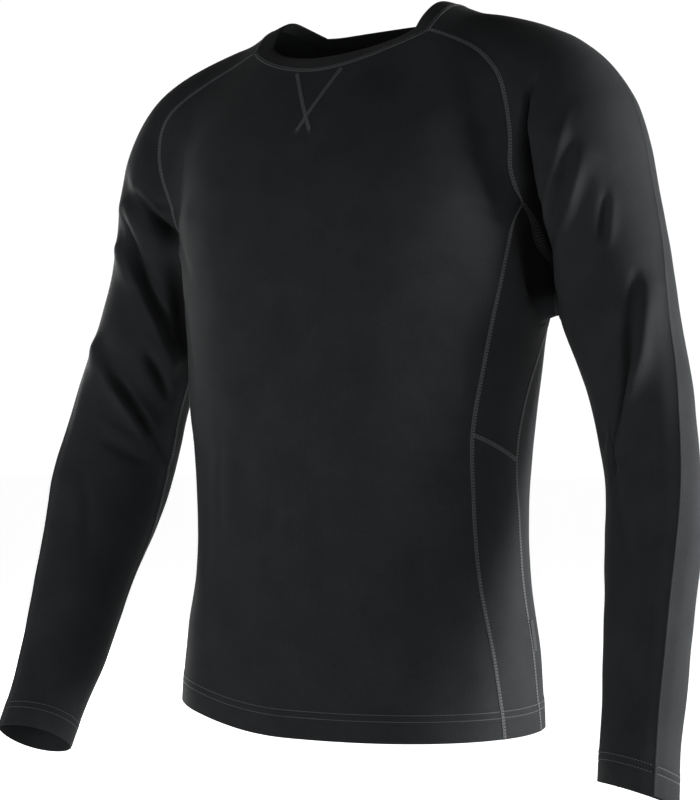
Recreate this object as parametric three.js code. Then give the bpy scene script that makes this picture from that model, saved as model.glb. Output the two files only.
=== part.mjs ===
import * as THREE from "three";

// Long-sleeved base layer top in worn form, in millimetres.
// Z is up, +X is the wearer's left and the front faces -Y.
// The origin lies midway between the high points of the shoulders, level with the neck seam.

// Cloth
const clothThickness = 1.8;
const seamGap = 0.34;
const jerseyColour = 0x1f2022;
const ribColour = 0x26272a;
const labelColour = 0x2c2d30;

// Whole garment
const hemHeight = -698;
const rightHemRise = 16;
const rightCuffDrop = 7;
const rightCuffInward = 5;
const leftCuffTilt = 13;
const cuffRadius = 37;
const leftCuffMiddle = { x: 338, y: -131 };
const blendRadius = 38;

// Neck band and side label
const bandHeight = 18;
const bandThickness = 2.4;
const bandLean = 0.6;
const bandSideLean = 0.93;
const labelThickness = 0.9;
const labelWidth = 9;
const labelTop = -592;
const labelLength = 30;

// Rows of cells in each panel
const frontColumns = 26;
const sideColumns = 8;
const sleeveColumns = 12;
const lowerSideRows = 10;
const upperSideRows = 9;
const raglanRows = 10;
const armpitRows = sideColumns / 2;
const armRows = 20;

// Level sections of the body, from the neck down to below the hem
// A square of 2 is an ellipse, and a higher one fills the corners
const bodySections = [
  { height: 24, halfWidth: 84, front: -60, back: 66, middle: 0, square: 2.2 },
  { height: 3, halfWidth: 94, front: -69, back: 73, middle: 0, square: 2.3 },
  { height: -29, halfWidth: 112, front: -83, back: 84, middle: 0, square: 2.4 },
  { height: -63, halfWidth: 139, front: -96, back: 95, middle: 0, square: 2.5 },
  { height: -111, halfWidth: 172, front: -118, back: 108, middle: -3, square: 2.6 },
  { height: -160, halfWidth: 190, front: -133, back: 117, middle: -6, square: 2.6 },
  { height: -203, halfWidth: 196, front: -141, back: 121, middle: -9, square: 2.5 },
  { height: -260, halfWidth: 194, front: -146, back: 121, middle: -13, square: 2.35 },
  { height: -320, halfWidth: 189, front: -147, back: 116, middle: -17, square: 2.2 },
  { height: -380, halfWidth: 184, front: -147, back: 109, middle: -20, square: 2.15 },
  { height: -440, halfWidth: 177, front: -145, back: 104, middle: -21, square: 2.15 },
  { height: -500, halfWidth: 174, front: -145, back: 103, middle: -21, square: 2.15 },
  { height: -560, halfWidth: 176, front: -148, back: 107, middle: -21, square: 2.15 },
  { height: -620, halfWidth: 184, front: -154, back: 114, middle: -21, square: 2.15 },
  { height: -698, halfWidth: 190, front: -158, back: 118, middle: -21, square: 2.15 },
  { height: -760, halfWidth: 192, front: -159, back: 119, middle: -21, square: 2.15 },
];

// Sections square to the left arm, from inside the neck down to past the cuff
// The turn swings the wide half of the section from outward to forward, in degrees
const armSections = [
  { x: 20, y: 0, z: -74, wide: 62, narrow: 62, turn: 0 },
  { x: 70, y: 4, z: -69, wide: 68, narrow: 64, turn: 0 },
  { x: 120, y: 4, z: -75, wide: 70, narrow: 62, turn: 0 },
  { x: 170, y: 3, z: -88, wide: 67, narrow: 61, turn: 0 },
  { x: 207, y: 1, z: -111, wide: 67, narrow: 63, turn: 0 },
  { x: 229, y: -3, z: -150, wide: 66, narrow: 66, turn: 0 },
  { x: 243, y: -1, z: -200, wide: 63, narrow: 61, turn: 20 },
  { x: 254, y: 2, z: -243, wide: 61, narrow: 57, turn: 35 },
  { x: 265, y: 0, z: -285, wide: 60, narrow: 54, turn: 45 },
  { x: 275, y: -4, z: -320, wide: 59, narrow: 51, turn: 45 },
  { x: 291, y: -8, z: -370, wide: 59, narrow: 45, turn: 45 },
  { x: 304, y: -16, z: -430, wide: 61, narrow: 40, turn: 45 },
  { x: 311, y: -26, z: -470, wide: 61, narrow: 39, turn: 45 },
  { x: 316, y: -38, z: -510, wide: 57, narrow: 40, turn: 42 },
  { x: 321, y: -58, z: -560, wide: 49, narrow: 38, turn: 42 },
  { x: 326, y: -82, z: -620, wide: 44, narrow: 36, turn: 42 },
  { x: 331, y: -104, z: -670, wide: 39, narrow: 34, turn: 42 },
  { x: 336, y: -124, z: -718, wide: 37, narrow: 34, turn: 42 },
  { x: 341, y: -142, z: -760, wide: 37, narrow: 34, turn: 42 },
];

// Front raglan seam in front elevation, neck first
const frontRaglan = [
  { x: 98, z: -29 },
  { x: 143, z: -50 },
  { x: 178, z: -85 },
  { x: 199, z: -135 },
  { x: 200, z: -168 },
  { x: 201, z: -203 },
];

// Back raglan seam in back elevation, neck first
const backRaglan = [
  { x: 88, z: -4 },
  { x: 136, z: -36 },
  { x: 172, z: -76 },
  { x: 194, z: -122 },
  { x: 200, z: -162 },
  { x: 196, z: -203 },
];

// Side seams in side elevation, armhole first
const frontSideSeam = [
  { y: -57, z: -203 },
  { y: -70, z: -265 },
  { y: -78, z: -330 },
  { y: -85, z: -405 },
  { y: -80, z: -480 },
  { y: -74, z: -580 },
  { y: -66, z: -698 },
];
const backSideSeam = [
  { y: 52, z: -203 },
  { y: 54, z: -235 },
  { y: 47, z: -268 },
  { y: 26, z: -300 },
  { y: 2, z: -332 },
  { y: -20, z: -372 },
  { y: -31, z: -430 },
  { y: -17, z: -505 },
  { y: -10, z: -590 },
  { y: -3, z: -698 },
];
const diagonalFrontHeight = -416;
const diagonalBackHeight = -440;

// Middle of the armhole's lower half, from which its edge is fanned
const armpitCentre = { x: 207, y: -3, z: -254 };

// Seam along the shoulder and the outer arm, and the underarm seam
// The bearing is measured around the arm, from forward at 0 to outward at 90
const sleeveSeams = [
  { along: 0.0, outer: 90, under: -90 },
  { along: 0.19, outer: 87, under: -90 },
  { along: 0.36, outer: 71, under: -92 },
  { along: 0.55, outer: 48, under: -110 },
  { along: 0.75, outer: 42, under: -124 },
  { along: 1.0, outer: 41, under: -134 },
];

// Height of the middle of the front and back panels beside each raglan seam
const frontNeckHeight = -63;
const backNeckHeight = -5;

// Largest folds, each a ridge or a trough through three places on the cloth
// A positive height stands out and a negative one sinks in; the side is 1 left, -1 right, 0 both
const folds = [
  { side: 0, height: -2.5, width: 13, line: [[195, -66, -118], [199, -62, -180], [201, -50, -228]] },
  { side: 1, height: 4.5, width: 12, line: [[236, -68, -150], [219, -59, -201], [212, -42, -250]] },
  { side: 1, height: 3.5, width: 13, line: [[258, -62, -165], [239, -58, -225], [222, -38, -272]] },
  { side: 1, height: 4, width: 13, line: [[313, -42, -290], [310, -58, -356], [284, -51, -424]] },
  { side: 1, height: -4, width: 13, line: [[297, -48, -325], [288, -56, -372], [266, -36, -416]] },
  { side: -1, height: -4, width: 13, line: [[268, -57, -150], [242, -66, -173], [206, -56, -206]] },
  { side: -1, height: 3.5, width: 13, line: [[270, -55, -172], [242, -62, -194], [212, -50, -226]] },
  { side: -1, height: -4, width: 13, line: [[276, -52, -200], [252, -56, -242], [228, -33, -310]] },
  { side: -1, height: 4.5, width: 12, line: [[284, -49, -214], [256, -55, -256], [232, -24, -336]] },
  { side: -1, height: 4, width: 13, line: [[314, -50, -320], [284, -54, -364], [257, -25, -410]] },
  { side: -1, height: -3.5, width: 13, line: [[300, -58, -318], [278, -56, -346], [252, -32, -380]] },
  { side: 0, height: 4, width: 13, line: [[238, 58, -150], [220, 52, -205], [210, 34, -262]] },
  { side: 0, height: 3, width: 14, line: [[262, 52, -175], [244, 50, -232], [228, 34, -286]] },
  { side: 1, height: -2.5, width: 19, line: [[62, -141, -405], [74, -136, -480], [86, -135, -556]] },
  { side: -1, height: -2, width: 19, line: [[58, -141, -430], [58, -143, -505], [52, -146, -580]] },
  { side: -1, height: -2, width: 17, line: [[118, -118, -440], [124, -113, -480], [122, -118, -540]] },
  { side: 0, height: 2, width: 15, line: [[150, -105, -196], [176, -84, -208], [198, -62, -214]] },
  { side: 0, height: -2.5, width: 16, line: [[0, 106, -438], [60, 100, -430], [118, 78, -408]] },
  { side: 0, height: -2, width: 16, line: [[20, 104, -476], [76, 96, -470], [130, 70, -452]] },
];

function smoothStep(value) {
  const t = Math.min(Math.max(value, 0), 1);
  return t * t * (3 - 2 * t);
}

function mix(a, b, t) {
  return a + (b - a) * t;
}

// Smooth curve through the rows of a table, read at a whole or part row number
function readRows(rows, position, name) {
  const last = rows.length - 1;
  const place = Math.min(Math.max(position, 0), last);
  const row = Math.min(Math.floor(place), last - 1);
  const t = place - row;
  const before = rows[Math.max(row - 1, 0)][name];
  const start = rows[row][name];
  const end = rows[row + 1][name];
  const after = rows[Math.min(row + 2, last)][name];
  const leave = (end - before) / 2;
  const arrive = (after - start) / 2;
  const square = t * t;
  const cube = square * t;
  return (2 * cube - 3 * square + 1) * start + (cube - 2 * square + t) * leave
    + (3 * square - 2 * cube) * end + (cube - square) * arrive;
}

// Row number at which a column of a table reaches a value
function findRow(rows, name, value) {
  const rising = rows[rows.length - 1][name] > rows[0][name];
  let low = 0;
  let high = rows.length - 1;
  for (let step = 0; step < 26; step += 1) {
    const middle = (low + high) / 2;
    const passed = readRows(rows, middle, name) > value;
    if (passed === rising) {
      high = middle;
    } else {
      low = middle;
    }
  }
  return (low + high) / 2;
}

// Distance to the body, taken in its own level section
function bodyDistance(x, y, z) {
  const place = findRow(bodySections, "height", z);
  const halfWidth = readRows(bodySections, place, "halfWidth");
  const middle = readRows(bodySections, place, "middle");
  const front = readRows(bodySections, place, "front");
  const back = readRows(bodySections, place, "back");
  const depth = y < middle ? middle - front : back - middle;
  const across = Math.abs(x) / halfWidth;
  const through = Math.abs(y - middle) / depth;
  const square = readRows(bodySections, place, "square");
  const reach = Math.pow(Math.pow(across, square) + Math.pow(through, square), 1 / square);
  return Math.hypot(x, y - middle) * (1 - 1 / Math.max(reach, 0.05));
}

// Stations along the arm, each with its own square frame
function makeArmStations() {
  const stations = [];
  const perSection = 4;
  const count = (armSections.length - 1) * perSection;
  for (let step = 0; step <= count; step += 1) {
    const place = step / perSection;
    const point = readArmPoint(place);
    const ahead = readArmPoint(Math.min(place + 0.05, armSections.length - 1));
    const behind = readArmPoint(Math.max(place - 0.05, 0));
    const along = ahead.sub(behind).normalize();
    const forward = new THREE.Vector3(0, -1, 0).addScaledVector(along, along.y).normalize();
    const outward = new THREE.Vector3().crossVectors(forward, along);
    stations.push({
      point, along, forward, outward, place,
      wide: readRows(armSections, place, "wide"),
      narrow: readRows(armSections, place, "narrow"),
      turn: THREE.MathUtils.degToRad(readRows(armSections, place, "turn")),
      run: readArmPoint(Math.min((step + 1) / perSection, armSections.length - 1)).sub(point),
    });
  }
  return stations;
}

function readArmPoint(place) {
  return new THREE.Vector3(
    readRows(armSections, place, "x"),
    readRows(armSections, place, "y"),
    readRows(armSections, place, "z"),
  );
}

const armStations = makeArmStations();
const armLength = measureArm();

function measureArm() {
  const lengths = [0];
  for (let step = 1; step < armStations.length; step += 1) {
    lengths.push(lengths[step - 1] + armStations[step].point.distanceTo(armStations[step - 1].point));
  }
  return lengths;
}

// Distance to the left arm, taken in the square frame at the nearest place on its centre line
function armDistance(x, y, z) {
  const from = new THREE.Vector3(x, y, z);
  let best = Infinity;
  let nearest = 0;
  let share = 0;
  for (let step = 0; step < armStations.length - 1; step += 1) {
    const start = armStations[step].point;
    const run = armStations[step].run;
    const t = Math.min(Math.max(from.clone().sub(start).dot(run) / run.lengthSq(), 0), 1);
    const away = start.clone().addScaledVector(run, t).distanceToSquared(from);
    if (away < best) {
      best = away;
      nearest = step;
      share = t;
    }
  }
  return sectionDistance(mixStations(nearest, share), from);
}

function mixStations(step, t) {
  const a = armStations[step];
  const b = armStations[step + 1];
  const station = { point: a.point.clone().lerp(b.point, t) };
  for (const name of ["along", "forward", "outward"]) {
    station[name] = a[name].clone().lerp(b[name], t).normalize();
  }
  for (const name of ["wide", "narrow", "turn"]) {
    station[name] = mix(a[name], b[name], t);
  }
  return station;
}

function sectionDistance(station, from) {
  const offset = from.clone().sub(station.point);
  const outward = offset.dot(station.outward);
  const forward = offset.dot(station.forward);
  const slide = offset.dot(station.along);
  const long = outward * Math.cos(station.turn) + forward * Math.sin(station.turn);
  const short = forward * Math.cos(station.turn) - outward * Math.sin(station.turn);
  const radius = (station.wide + station.narrow) / 2;
  const reach = Math.hypot(long / station.wide, short / station.narrow, slide / radius);
  return offset.length() * (1 - 1 / Math.max(reach, 0.05));
}

// Below zero inside the worn form, above zero outside it
function formDistance(x, y, z) {
  const body = bodyDistance(x, y, z);
  const arm = armDistance(Math.abs(x), y, z);
  const overlap = Math.max(blendRadius - Math.abs(body - arm), 0) / blendRadius;
  return Math.min(body, arm) - overlap * overlap * blendRadius / 4;
}

function outwardNormal(point) {
  const step = 0.8;
  return new THREE.Vector3(
    formDistance(point.x + step, point.y, point.z) - formDistance(point.x - step, point.y, point.z),
    formDistance(point.x, point.y + step, point.z) - formDistance(point.x, point.y - step, point.z),
    formDistance(point.x, point.y, point.z + step) - formDistance(point.x, point.y, point.z - step),
  ).normalize();
}

// First place where a ray from inside the form comes out of it
function leaveForm(origin, direction) {
  const stride = 6;
  let reach = 0;
  while (reach < 400) {
    const point = origin.clone().addScaledVector(direction, reach + stride);
    if (formDistance(point.x, point.y, point.z) > 0) {
      break;
    }
    reach += stride;
  }
  let low = reach;
  let high = reach + stride;
  for (let step = 0; step < 22; step += 1) {
    const middle = (low + high) / 2;
    const point = origin.clone().addScaledVector(direction, middle);
    if (formDistance(point.x, point.y, point.z) > 0) {
      high = middle;
    } else {
      low = middle;
    }
  }
  return origin.clone().addScaledVector(direction, (low + high) / 2);
}

// Seam curves on the left half of the form
function frontElevationPoint(rows, t, direction) {
  const place = t * (rows.length - 1);
  const origin = new THREE.Vector3(readRows(rows, place, "x"), 0, readRows(rows, place, "z"));
  return leaveForm(origin, new THREE.Vector3(0, direction, 0));
}

function sideElevationPoint(rows, height) {
  const place = findRow(rows, "z", height);
  const origin = new THREE.Vector3(60, readRows(rows, place, "y"), height);
  return leaveForm(origin, new THREE.Vector3(1, 0, 0));
}

function raglanSeam(rows, direction) {
  const points = [];
  for (let row = 0; row <= raglanRows; row += 1) {
    points.push(frontElevationPoint(rows, row / raglanRows, direction));
  }
  return points;
}

// Armhole bottom from a side seam to the lowest point under the arm
function armpitEdge(corner) {
  const centre = new THREE.Vector3(armpitCentre.x, armpitCentre.y, armpitCentre.z);
  const start = corner.clone().sub(centre).normalize();
  const down = new THREE.Vector3(0, 0, -1);
  const points = [corner.clone()];
  for (let row = 1; row <= armpitRows; row += 1) {
    points.push(leaveForm(centre, turnBetween(start, down, row / armpitRows)));
  }
  return points;
}

function turnBetween(start, end, t) {
  const angle = start.angleTo(end);
  return start.clone().multiplyScalar(Math.sin(angle * (1 - t)))
    .addScaledVector(end, Math.sin(angle * t))
    .normalize();
}

// The spacing above 1 keeps the rows of the side panel square to the slanting rear seam
function sideSeam(rows, corner, diagonalHeight, spacing) {
  const points = [];
  const total = lowerSideRows + upperSideRows;
  for (let row = 0; row < total; row += 1) {
    const lower = row <= lowerSideRows;
    const height = lower
      ? mix(hemHeight, diagonalHeight, row / lowerSideRows)
      : mix(diagonalHeight, corner.z, ((row - lowerSideRows) / upperSideRows) ** spacing);
    points.push(sideElevationPoint(rows, height));
  }
  points.push(corner.clone());
  return points;
}

const frontRaglanSeam = raglanSeam(frontRaglan, -1);
const backRaglanSeam = raglanSeam(backRaglan, 1);
const frontCorner = frontRaglanSeam[raglanRows];
const backCorner = backRaglanSeam[raglanRows];
const frontArmpit = armpitEdge(frontCorner);
const backArmpit = armpitEdge(backCorner);
const frontSide = sideSeam(frontSideSeam, frontCorner, diagonalFrontHeight, 1);
const backSide = sideSeam(backSideSeam, backCorner, diagonalBackHeight, 1.05);

// Front or back panel: level fans from the middle of the body between mirrored borders
function bodyPanel(side, raglan, direction, neckHeight) {
  const border = side.concat(raglan.slice(0, raglanRows).reverse());
  const sideRows = side.length - 1;
  return border.map((edge, row) => {
    const climb = Math.max(row - sideRows, 0) / raglanRows;
    const sag = mix(0, neckHeight - border[border.length - 1].z, smoothStep(climb * 0.9 + 0.1));
    const points = [];
    for (let column = 0; column <= frontColumns; column += 1) {
      const t = 2 * column / frontColumns - 1;
      points.push(bodyPanelPoint(edge, t, sag, direction));
    }
    return points;
  });
}

function bodyPanelPoint(edge, t, sag, direction) {
  if (Math.abs(t) === 1) {
    return new THREE.Vector3(edge.x * t, edge.y, edge.z);
  }
  const height = edge.z + sag * (1 - t * t);
  const centre = new THREE.Vector3(0, -10, height);
  const limit = Math.atan2(edge.x, (edge.y - centre.y) * direction);
  const bearing = limit * t;
  const ray = new THREE.Vector3(Math.sin(bearing), Math.cos(bearing) * direction, 0);
  return leaveForm(centre, ray);
}

// Side panel: blended between its four borders in side elevation
function sidePanel(front, back, bottom, top) {
  return front.map((edge, row) => {
    const up = row / (front.length - 1);
    const points = [];
    for (let column = 0; column <= sideColumns; column += 1) {
      const across = column / sideColumns;
      points.push(blendPoint(front, back, bottom, top, row, column, up, across));
    }
    return points;
  });
}

function blendPoint(front, back, bottom, top, row, column, up, across) {
  if (column === 0) {
    return front[row].clone();
  }
  if (column === sideColumns) {
    return back[row].clone();
  }
  if (row === 0) {
    return bottom[column].clone();
  }
  if (row === front.length - 1) {
    return top[column].clone();
  }
  const last = front.length - 1;
  const guess = front[row].clone().lerp(back[row], across);
  const low = front[0].clone().lerp(back[0], across);
  const high = front[last].clone().lerp(back[last], across);
  guess.addScaledVector(bottom[column].clone().sub(low), (1 - up) ** 2);
  const scoop = top[column].clone().sub(high);
  guess.y += scoop.y * up ** 7;
  guess.z += scoop.z * up ** 2;
  return leaveForm(new THREE.Vector3(90, guess.y, guess.z), new THREE.Vector3(1, 0, 0));
}

function sideEdge(front, back) {
  const points = [];
  for (let column = 0; column <= sideColumns; column += 1) {
    const across = column / sideColumns;
    const guess = front.clone().lerp(back, across);
    const point = leaveForm(new THREE.Vector3(90, guess.y, guess.z), new THREE.Vector3(1, 0, 0));
    points.push(column === 0 ? front.clone() : column === sideColumns ? back.clone() : point);
  }
  return points;
}

// A station of the arm with its square frame, read at a share of its length
function readStation(share) {
  const first = 6;
  const wanted = mix(armLength[first], armLength[armStations.length - 1], share);
  let step = first;
  while (step < armStations.length - 2 && armLength[step + 1] < wanted) {
    step += 1;
  }
  const t = (wanted - armLength[step]) / (armLength[step + 1] - armLength[step]);
  return mixStations(step, t);
}

function seamBearing(share, name) {
  const place = findRow(sleeveSeams, "along", share);
  return THREE.MathUtils.degToRad(readRows(sleeveSeams, place, name));
}

// Share of the arm's length at each row of a sleeve panel
const cornerShare = 0.25;
const armpitShare = 0.36;
const cuffShare = 0.952;

// Reach of the cuff beyond its station, more on the outside of the wrist
const cuffOutward = 6;
const cuffForward = -5;

function rowShare(row) {
  if (row <= raglanRows) {
    return cornerShare * row / raglanRows;
  }
  if (row <= raglanRows + armpitRows) {
    return mix(cornerShare, armpitShare, (row - raglanRows) / armpitRows);
  }
  return mix(armpitShare, cuffShare, (row - raglanRows - armpitRows) / armRows);
}

function aroundArm(station, bearing, lift) {
  return station.forward.clone().multiplyScalar(Math.cos(bearing) * Math.cos(lift))
    .addScaledVector(station.outward, Math.sin(bearing) * Math.cos(lift))
    .addScaledVector(station.along, Math.sin(lift))
    .normalize();
}

// Sleeve panel: fans around the arm from the outer seam to the armhole and the underarm seam
function sleevePanel(raglan, armpitSide, facing) {
  const border = raglan.concat(armpitSide.slice(1));
  const rows = [];
  for (let row = 0; row <= raglanRows + armpitRows + armRows; row += 1) {
    const share = rowShare(row);
    const station = readStation(share);
    const nearCuff = Math.max(row - raglanRows - armpitRows, 0) / armRows;
    const outer = seamBearing(share, "outer");
    const end = row < border.length ? bearingOf(station, border[row]) : { lift: 0 };
    if (row >= border.length) {
      end.bearing = seamBearing(share, "under");
    }
    if (facing < 0) {
      end.bearing = end.bearing > outer ? end.bearing : end.bearing + 2 * Math.PI;
    } else {
      end.bearing = end.bearing < outer ? end.bearing : end.bearing - 2 * Math.PI;
    }
    const points = [];
    for (let column = 0; column <= sleeveColumns; column += 1) {
      const t = column / sleeveColumns;
      const bearing = mix(outer, end.bearing, t);
      const ray = aroundArm(station, bearing, end.lift * t * t);
      const slide = cuffOutward * Math.sin(bearing) + cuffForward * Math.cos(bearing);
      const start = station.point.clone().addScaledVector(station.along, slide * nearCuff ** 2);
      const exact = column === sleeveColumns && row < border.length;
      points.push(exact ? border[row].clone() : leaveForm(start, ray));
    }
    rows.push(points);
  }
  return rows;
}

function bearingOf(station, point) {
  const ray = point.clone().sub(station.point).normalize();
  return {
    bearing: Math.atan2(ray.dot(station.outward), ray.dot(station.forward)),
    lift: Math.asin(ray.dot(station.along)),
  };
}

// Draws the border of a grid in by half a seam gap, square to each edge
// Along the armhole's lower half the way in is straight across, given by the sideways rule
function drawIn(grid, sideways) {
  const rows = grid.length - 1;
  const columns = grid[0].length - 1;
  const result = grid.map((row) => row.map((point) => point.clone()));
  const pull = (row, column, downStep, acrossStep) => {
    const here = grid[row][column];
    const way = grid[row + downStep][column + acrossStep].clone().sub(here);
    const ahead = downStep ? [row, Math.min(column + 1, columns)] : [Math.min(row + 1, rows), column];
    const behind = downStep ? [row, Math.max(column - 1, 0)] : [Math.max(row - 1, 0), column];
    const run = grid[ahead[0]][ahead[1]].clone().sub(grid[behind[0]][behind[1]]).normalize();
    way.addScaledVector(run, -way.dot(run)).normalize();
    result[row][column].addScaledVector(sideways(row, column, way), seamGap / 2);
  };
  for (let column = 0; column <= columns; column += 1) {
    pull(0, column, 1, 0);
    pull(rows, column, -1, 0);
  }
  for (let row = 0; row <= rows; row += 1) {
    pull(row, 0, 0, 1);
    pull(row, columns, 0, -1);
  }
  return result;
}

function keepWay(row, column, way) {
  return way;
}

function sleeveWay(row, column, way) {
  const onArmpit = column === sleeveColumns && row > raglanRows && row <= raglanRows + armpitRows;
  if (!onArmpit) {
    return way;
  }
  const lowest = row === raglanRows + armpitRows;
  return new THREE.Vector3(2.3, lowest ? Math.sign(way.y) : 0, 0);
}

function sideWay(row, column, way) {
  const onArmpit = row === upperSideRows && column > 0 && column < sideColumns;
  return onArmpit ? new THREE.Vector3(-2.3, 0, 0) : way;
}

function distanceToLine(point, line, sign) {
  let nearest = Infinity;
  for (let step = 0; step < line.length - 1; step += 1) {
    const start = new THREE.Vector3(line[step][0] * sign, line[step][1], line[step][2]);
    const run = new THREE.Vector3(line[step + 1][0] * sign, line[step + 1][1], line[step + 1][2]).sub(start);
    const t = Math.min(Math.max(point.clone().sub(start).dot(run) / run.lengthSq(), 0), 1);
    nearest = Math.min(nearest, start.addScaledVector(run, t).distanceTo(point));
  }
  return nearest;
}

function foldHeight(point) {
  let height = 0;
  for (const fold of folds) {
    const sign = fold.side === 0 ? Math.sign(point.x) || 1 : fold.side;
    const away = distanceToLine(point, fold.line, sign) / fold.width;
    height += fold.height * Math.exp(-away * away);
  }
  return height;
}

// On the wearer's right the worn hem rides a little higher and the cuff hangs a little lower
// On the left the front of the cuff is pulled down and its back rides up
function hang(point) {
  if (point.x > 260) {
    const low = smoothStep((-655 - point.z) / 85);
    const forward = 0.37 * (point.x - leftCuffMiddle.x) - 0.93 * (point.y - leftCuffMiddle.y);
    return point.clone().setZ(point.z - leftCuffTilt * low * forward / cuffRadius);
  }
  const rise = smoothStep(-point.x / 190) * smoothStep((-520 - point.z) / 178);
  if (point.x > -260) {
    return point.clone().setZ(point.z + rightHemRise * rise);
  }
  const drop = smoothStep((-520 - point.z) / 150);
  return point.clone().add(new THREE.Vector3(rightCuffInward * drop, 0, -rightCuffDrop * drop));
}

// Outer and inner points of the cloth over a point of the form
function clothPoints(point, clearance, thickness) {
  const normal = outwardNormal(point);
  const height = foldHeight(point) + clearance;
  return {
    outer: hang(point.clone().addScaledVector(normal, height)),
    inner: hang(point.clone().addScaledVector(normal, height - thickness)),
  };
}

// Closed wall on a grid of points, with the cloth laid inward from it
function wallGeometry(grid, flip, clearance = 0, thickness = clothThickness) {
  const rows = grid.length;
  const columns = grid[0].length;
  const walls = grid.flat().map((point) => clothPoints(point, clearance, thickness));
  const corners = walls.map((wall) => wall.outer).concat(walls.map((wall) => wall.inner));
  const shift = rows * columns;
  const faces = [];
  const addSquare = (...ring) => {
    const [a, b, c, d] = startAtShorterSplit(ring, corners);
    if (flip) {
      faces.push(a, c, b, a, d, c);
    } else {
      faces.push(a, b, c, a, c, d);
    }
  };
  const at = (row, column) => row * columns + column;
  for (let row = 0; row < rows - 1; row += 1) {
    for (let column = 0; column < columns - 1; column += 1) {
      const a = at(row, column);
      const b = at(row, column + 1);
      const c = at(row + 1, column + 1);
      const d = at(row + 1, column);
      addSquare(a, b, c, d);
      addSquare(a + shift, d + shift, c + shift, b + shift);
    }
  }
  const rim = (a, b) => addSquare(b, a, a + shift, b + shift);
  for (let column = 0; column < columns - 1; column += 1) {
    rim(at(0, column), at(0, column + 1));
    rim(at(rows - 1, column + 1), at(rows - 1, column));
  }
  for (let row = 0; row < rows - 1; row += 1) {
    rim(at(row + 1, 0), at(row, 0));
    rim(at(row, columns - 1), at(row + 1, columns - 1));
  }
  return closedGeometry(corners.flatMap((corner) => corner.toArray()), faces);
}

// Turns the corners of a cell so that it splits along its shorter diagonal
function startAtShorterSplit(ring, corners) {
  const [a, b, c, d] = ring.map((index) => corners[index]);
  return a.distanceTo(c) <= b.distanceTo(d) ? ring : [ring[1], ring[2], ring[3], ring[0]];
}

function closedGeometry(positions, faces) {
  const geometry = new THREE.BufferGeometry();
  geometry.setAttribute("position", new THREE.Float32BufferAttribute(positions, 3));
  geometry.setIndex(faces);
  geometry.computeVertexNormals();
  return geometry;
}

function mirrorGrid(grid) {
  return grid.map((row) => row.map((point) => new THREE.Vector3(-point.x, point.y, point.z)));
}

const garment = new THREE.Group();
garment.name = "base_layer_top";

function addPiece(name, geometry, colour) {
  const material = new THREE.MeshStandardMaterial({ color: colour, roughness: 0.9 });
  const mesh = new THREE.Mesh(geometry, material);
  mesh.name = name;
  garment.add(mesh);
}

function addPanel(name, grid, flip) {
  addPiece(name, wallGeometry(grid, flip), jerseyColour);
}

function addPair(name, grid, flip) {
  addPanel(name + "_left", grid, flip);
  addPanel(name + "_right", mirrorGrid(grid), !flip);
}

const frontPanel = bodyPanel(frontSide, frontRaglanSeam, -1, frontNeckHeight);
const backPanel = bodyPanel(backSide, backRaglanSeam, 1, backNeckHeight);
addPanel("front", drawIn(frontPanel, keepWay), false);
addPanel("back", drawIn(backPanel, keepWay), true);

const diagonal = sideEdge(frontSide[lowerSideRows], backSide[lowerSideRows]);
const hemEdge = sideEdge(frontSide[0], backSide[0]);
const armholeEdge = frontArmpit.concat(backArmpit.slice(0, armpitRows).reverse());
const lowerSide = sidePanel(
  frontSide.slice(0, lowerSideRows + 1), backSide.slice(0, lowerSideRows + 1), hemEdge, diagonal,
);
const upperSide = sidePanel(
  frontSide.slice(lowerSideRows), backSide.slice(lowerSideRows), diagonal, armholeEdge,
);
addPair("side_lower", drawIn(lowerSide, keepWay), false);
addPair("side_upper", drawIn(upperSide, sideWay), false);

const sleeveFront = sleevePanel(frontRaglanSeam, frontArmpit, 1);
const sleeveBack = sleevePanel(backRaglanSeam, backArmpit, -1);
addPair("sleeve_front", drawIn(sleeveFront, sleeveWay), false);
addPair("sleeve_back", drawIn(sleeveBack, sleeveWay), true);

// Closed loop around the neck opening, along the upper ends of the four main panels
function neckLoop() {
  const frontRow = frontPanel[frontPanel.length - 1];
  const backRow = backPanel[backPanel.length - 1].slice().reverse();
  const leftTop = sleeveFront[0].slice().reverse().concat(sleeveBack[0].slice(1));
  const rightTop = mirrorGrid([leftTop])[0].reverse();
  const loop = [];
  for (const run of [frontRow, leftTop, backRow, rightTop]) {
    loop.push(...run.slice(0, run.length - 1));
  }
  return loop;
}

// Section of the band as shares of its thickness and height, with a rolled top
const bandSection = [
  { inward: 0, up: 0 },
  { inward: 0, up: 0.5 },
  { inward: 0.08, up: 0.94 },
  { inward: 0.5, up: 1 },
  { inward: 0.92, up: 0.94 },
  { inward: 1, up: 0.5 },
  { inward: 1, up: 0 },
];

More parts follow.
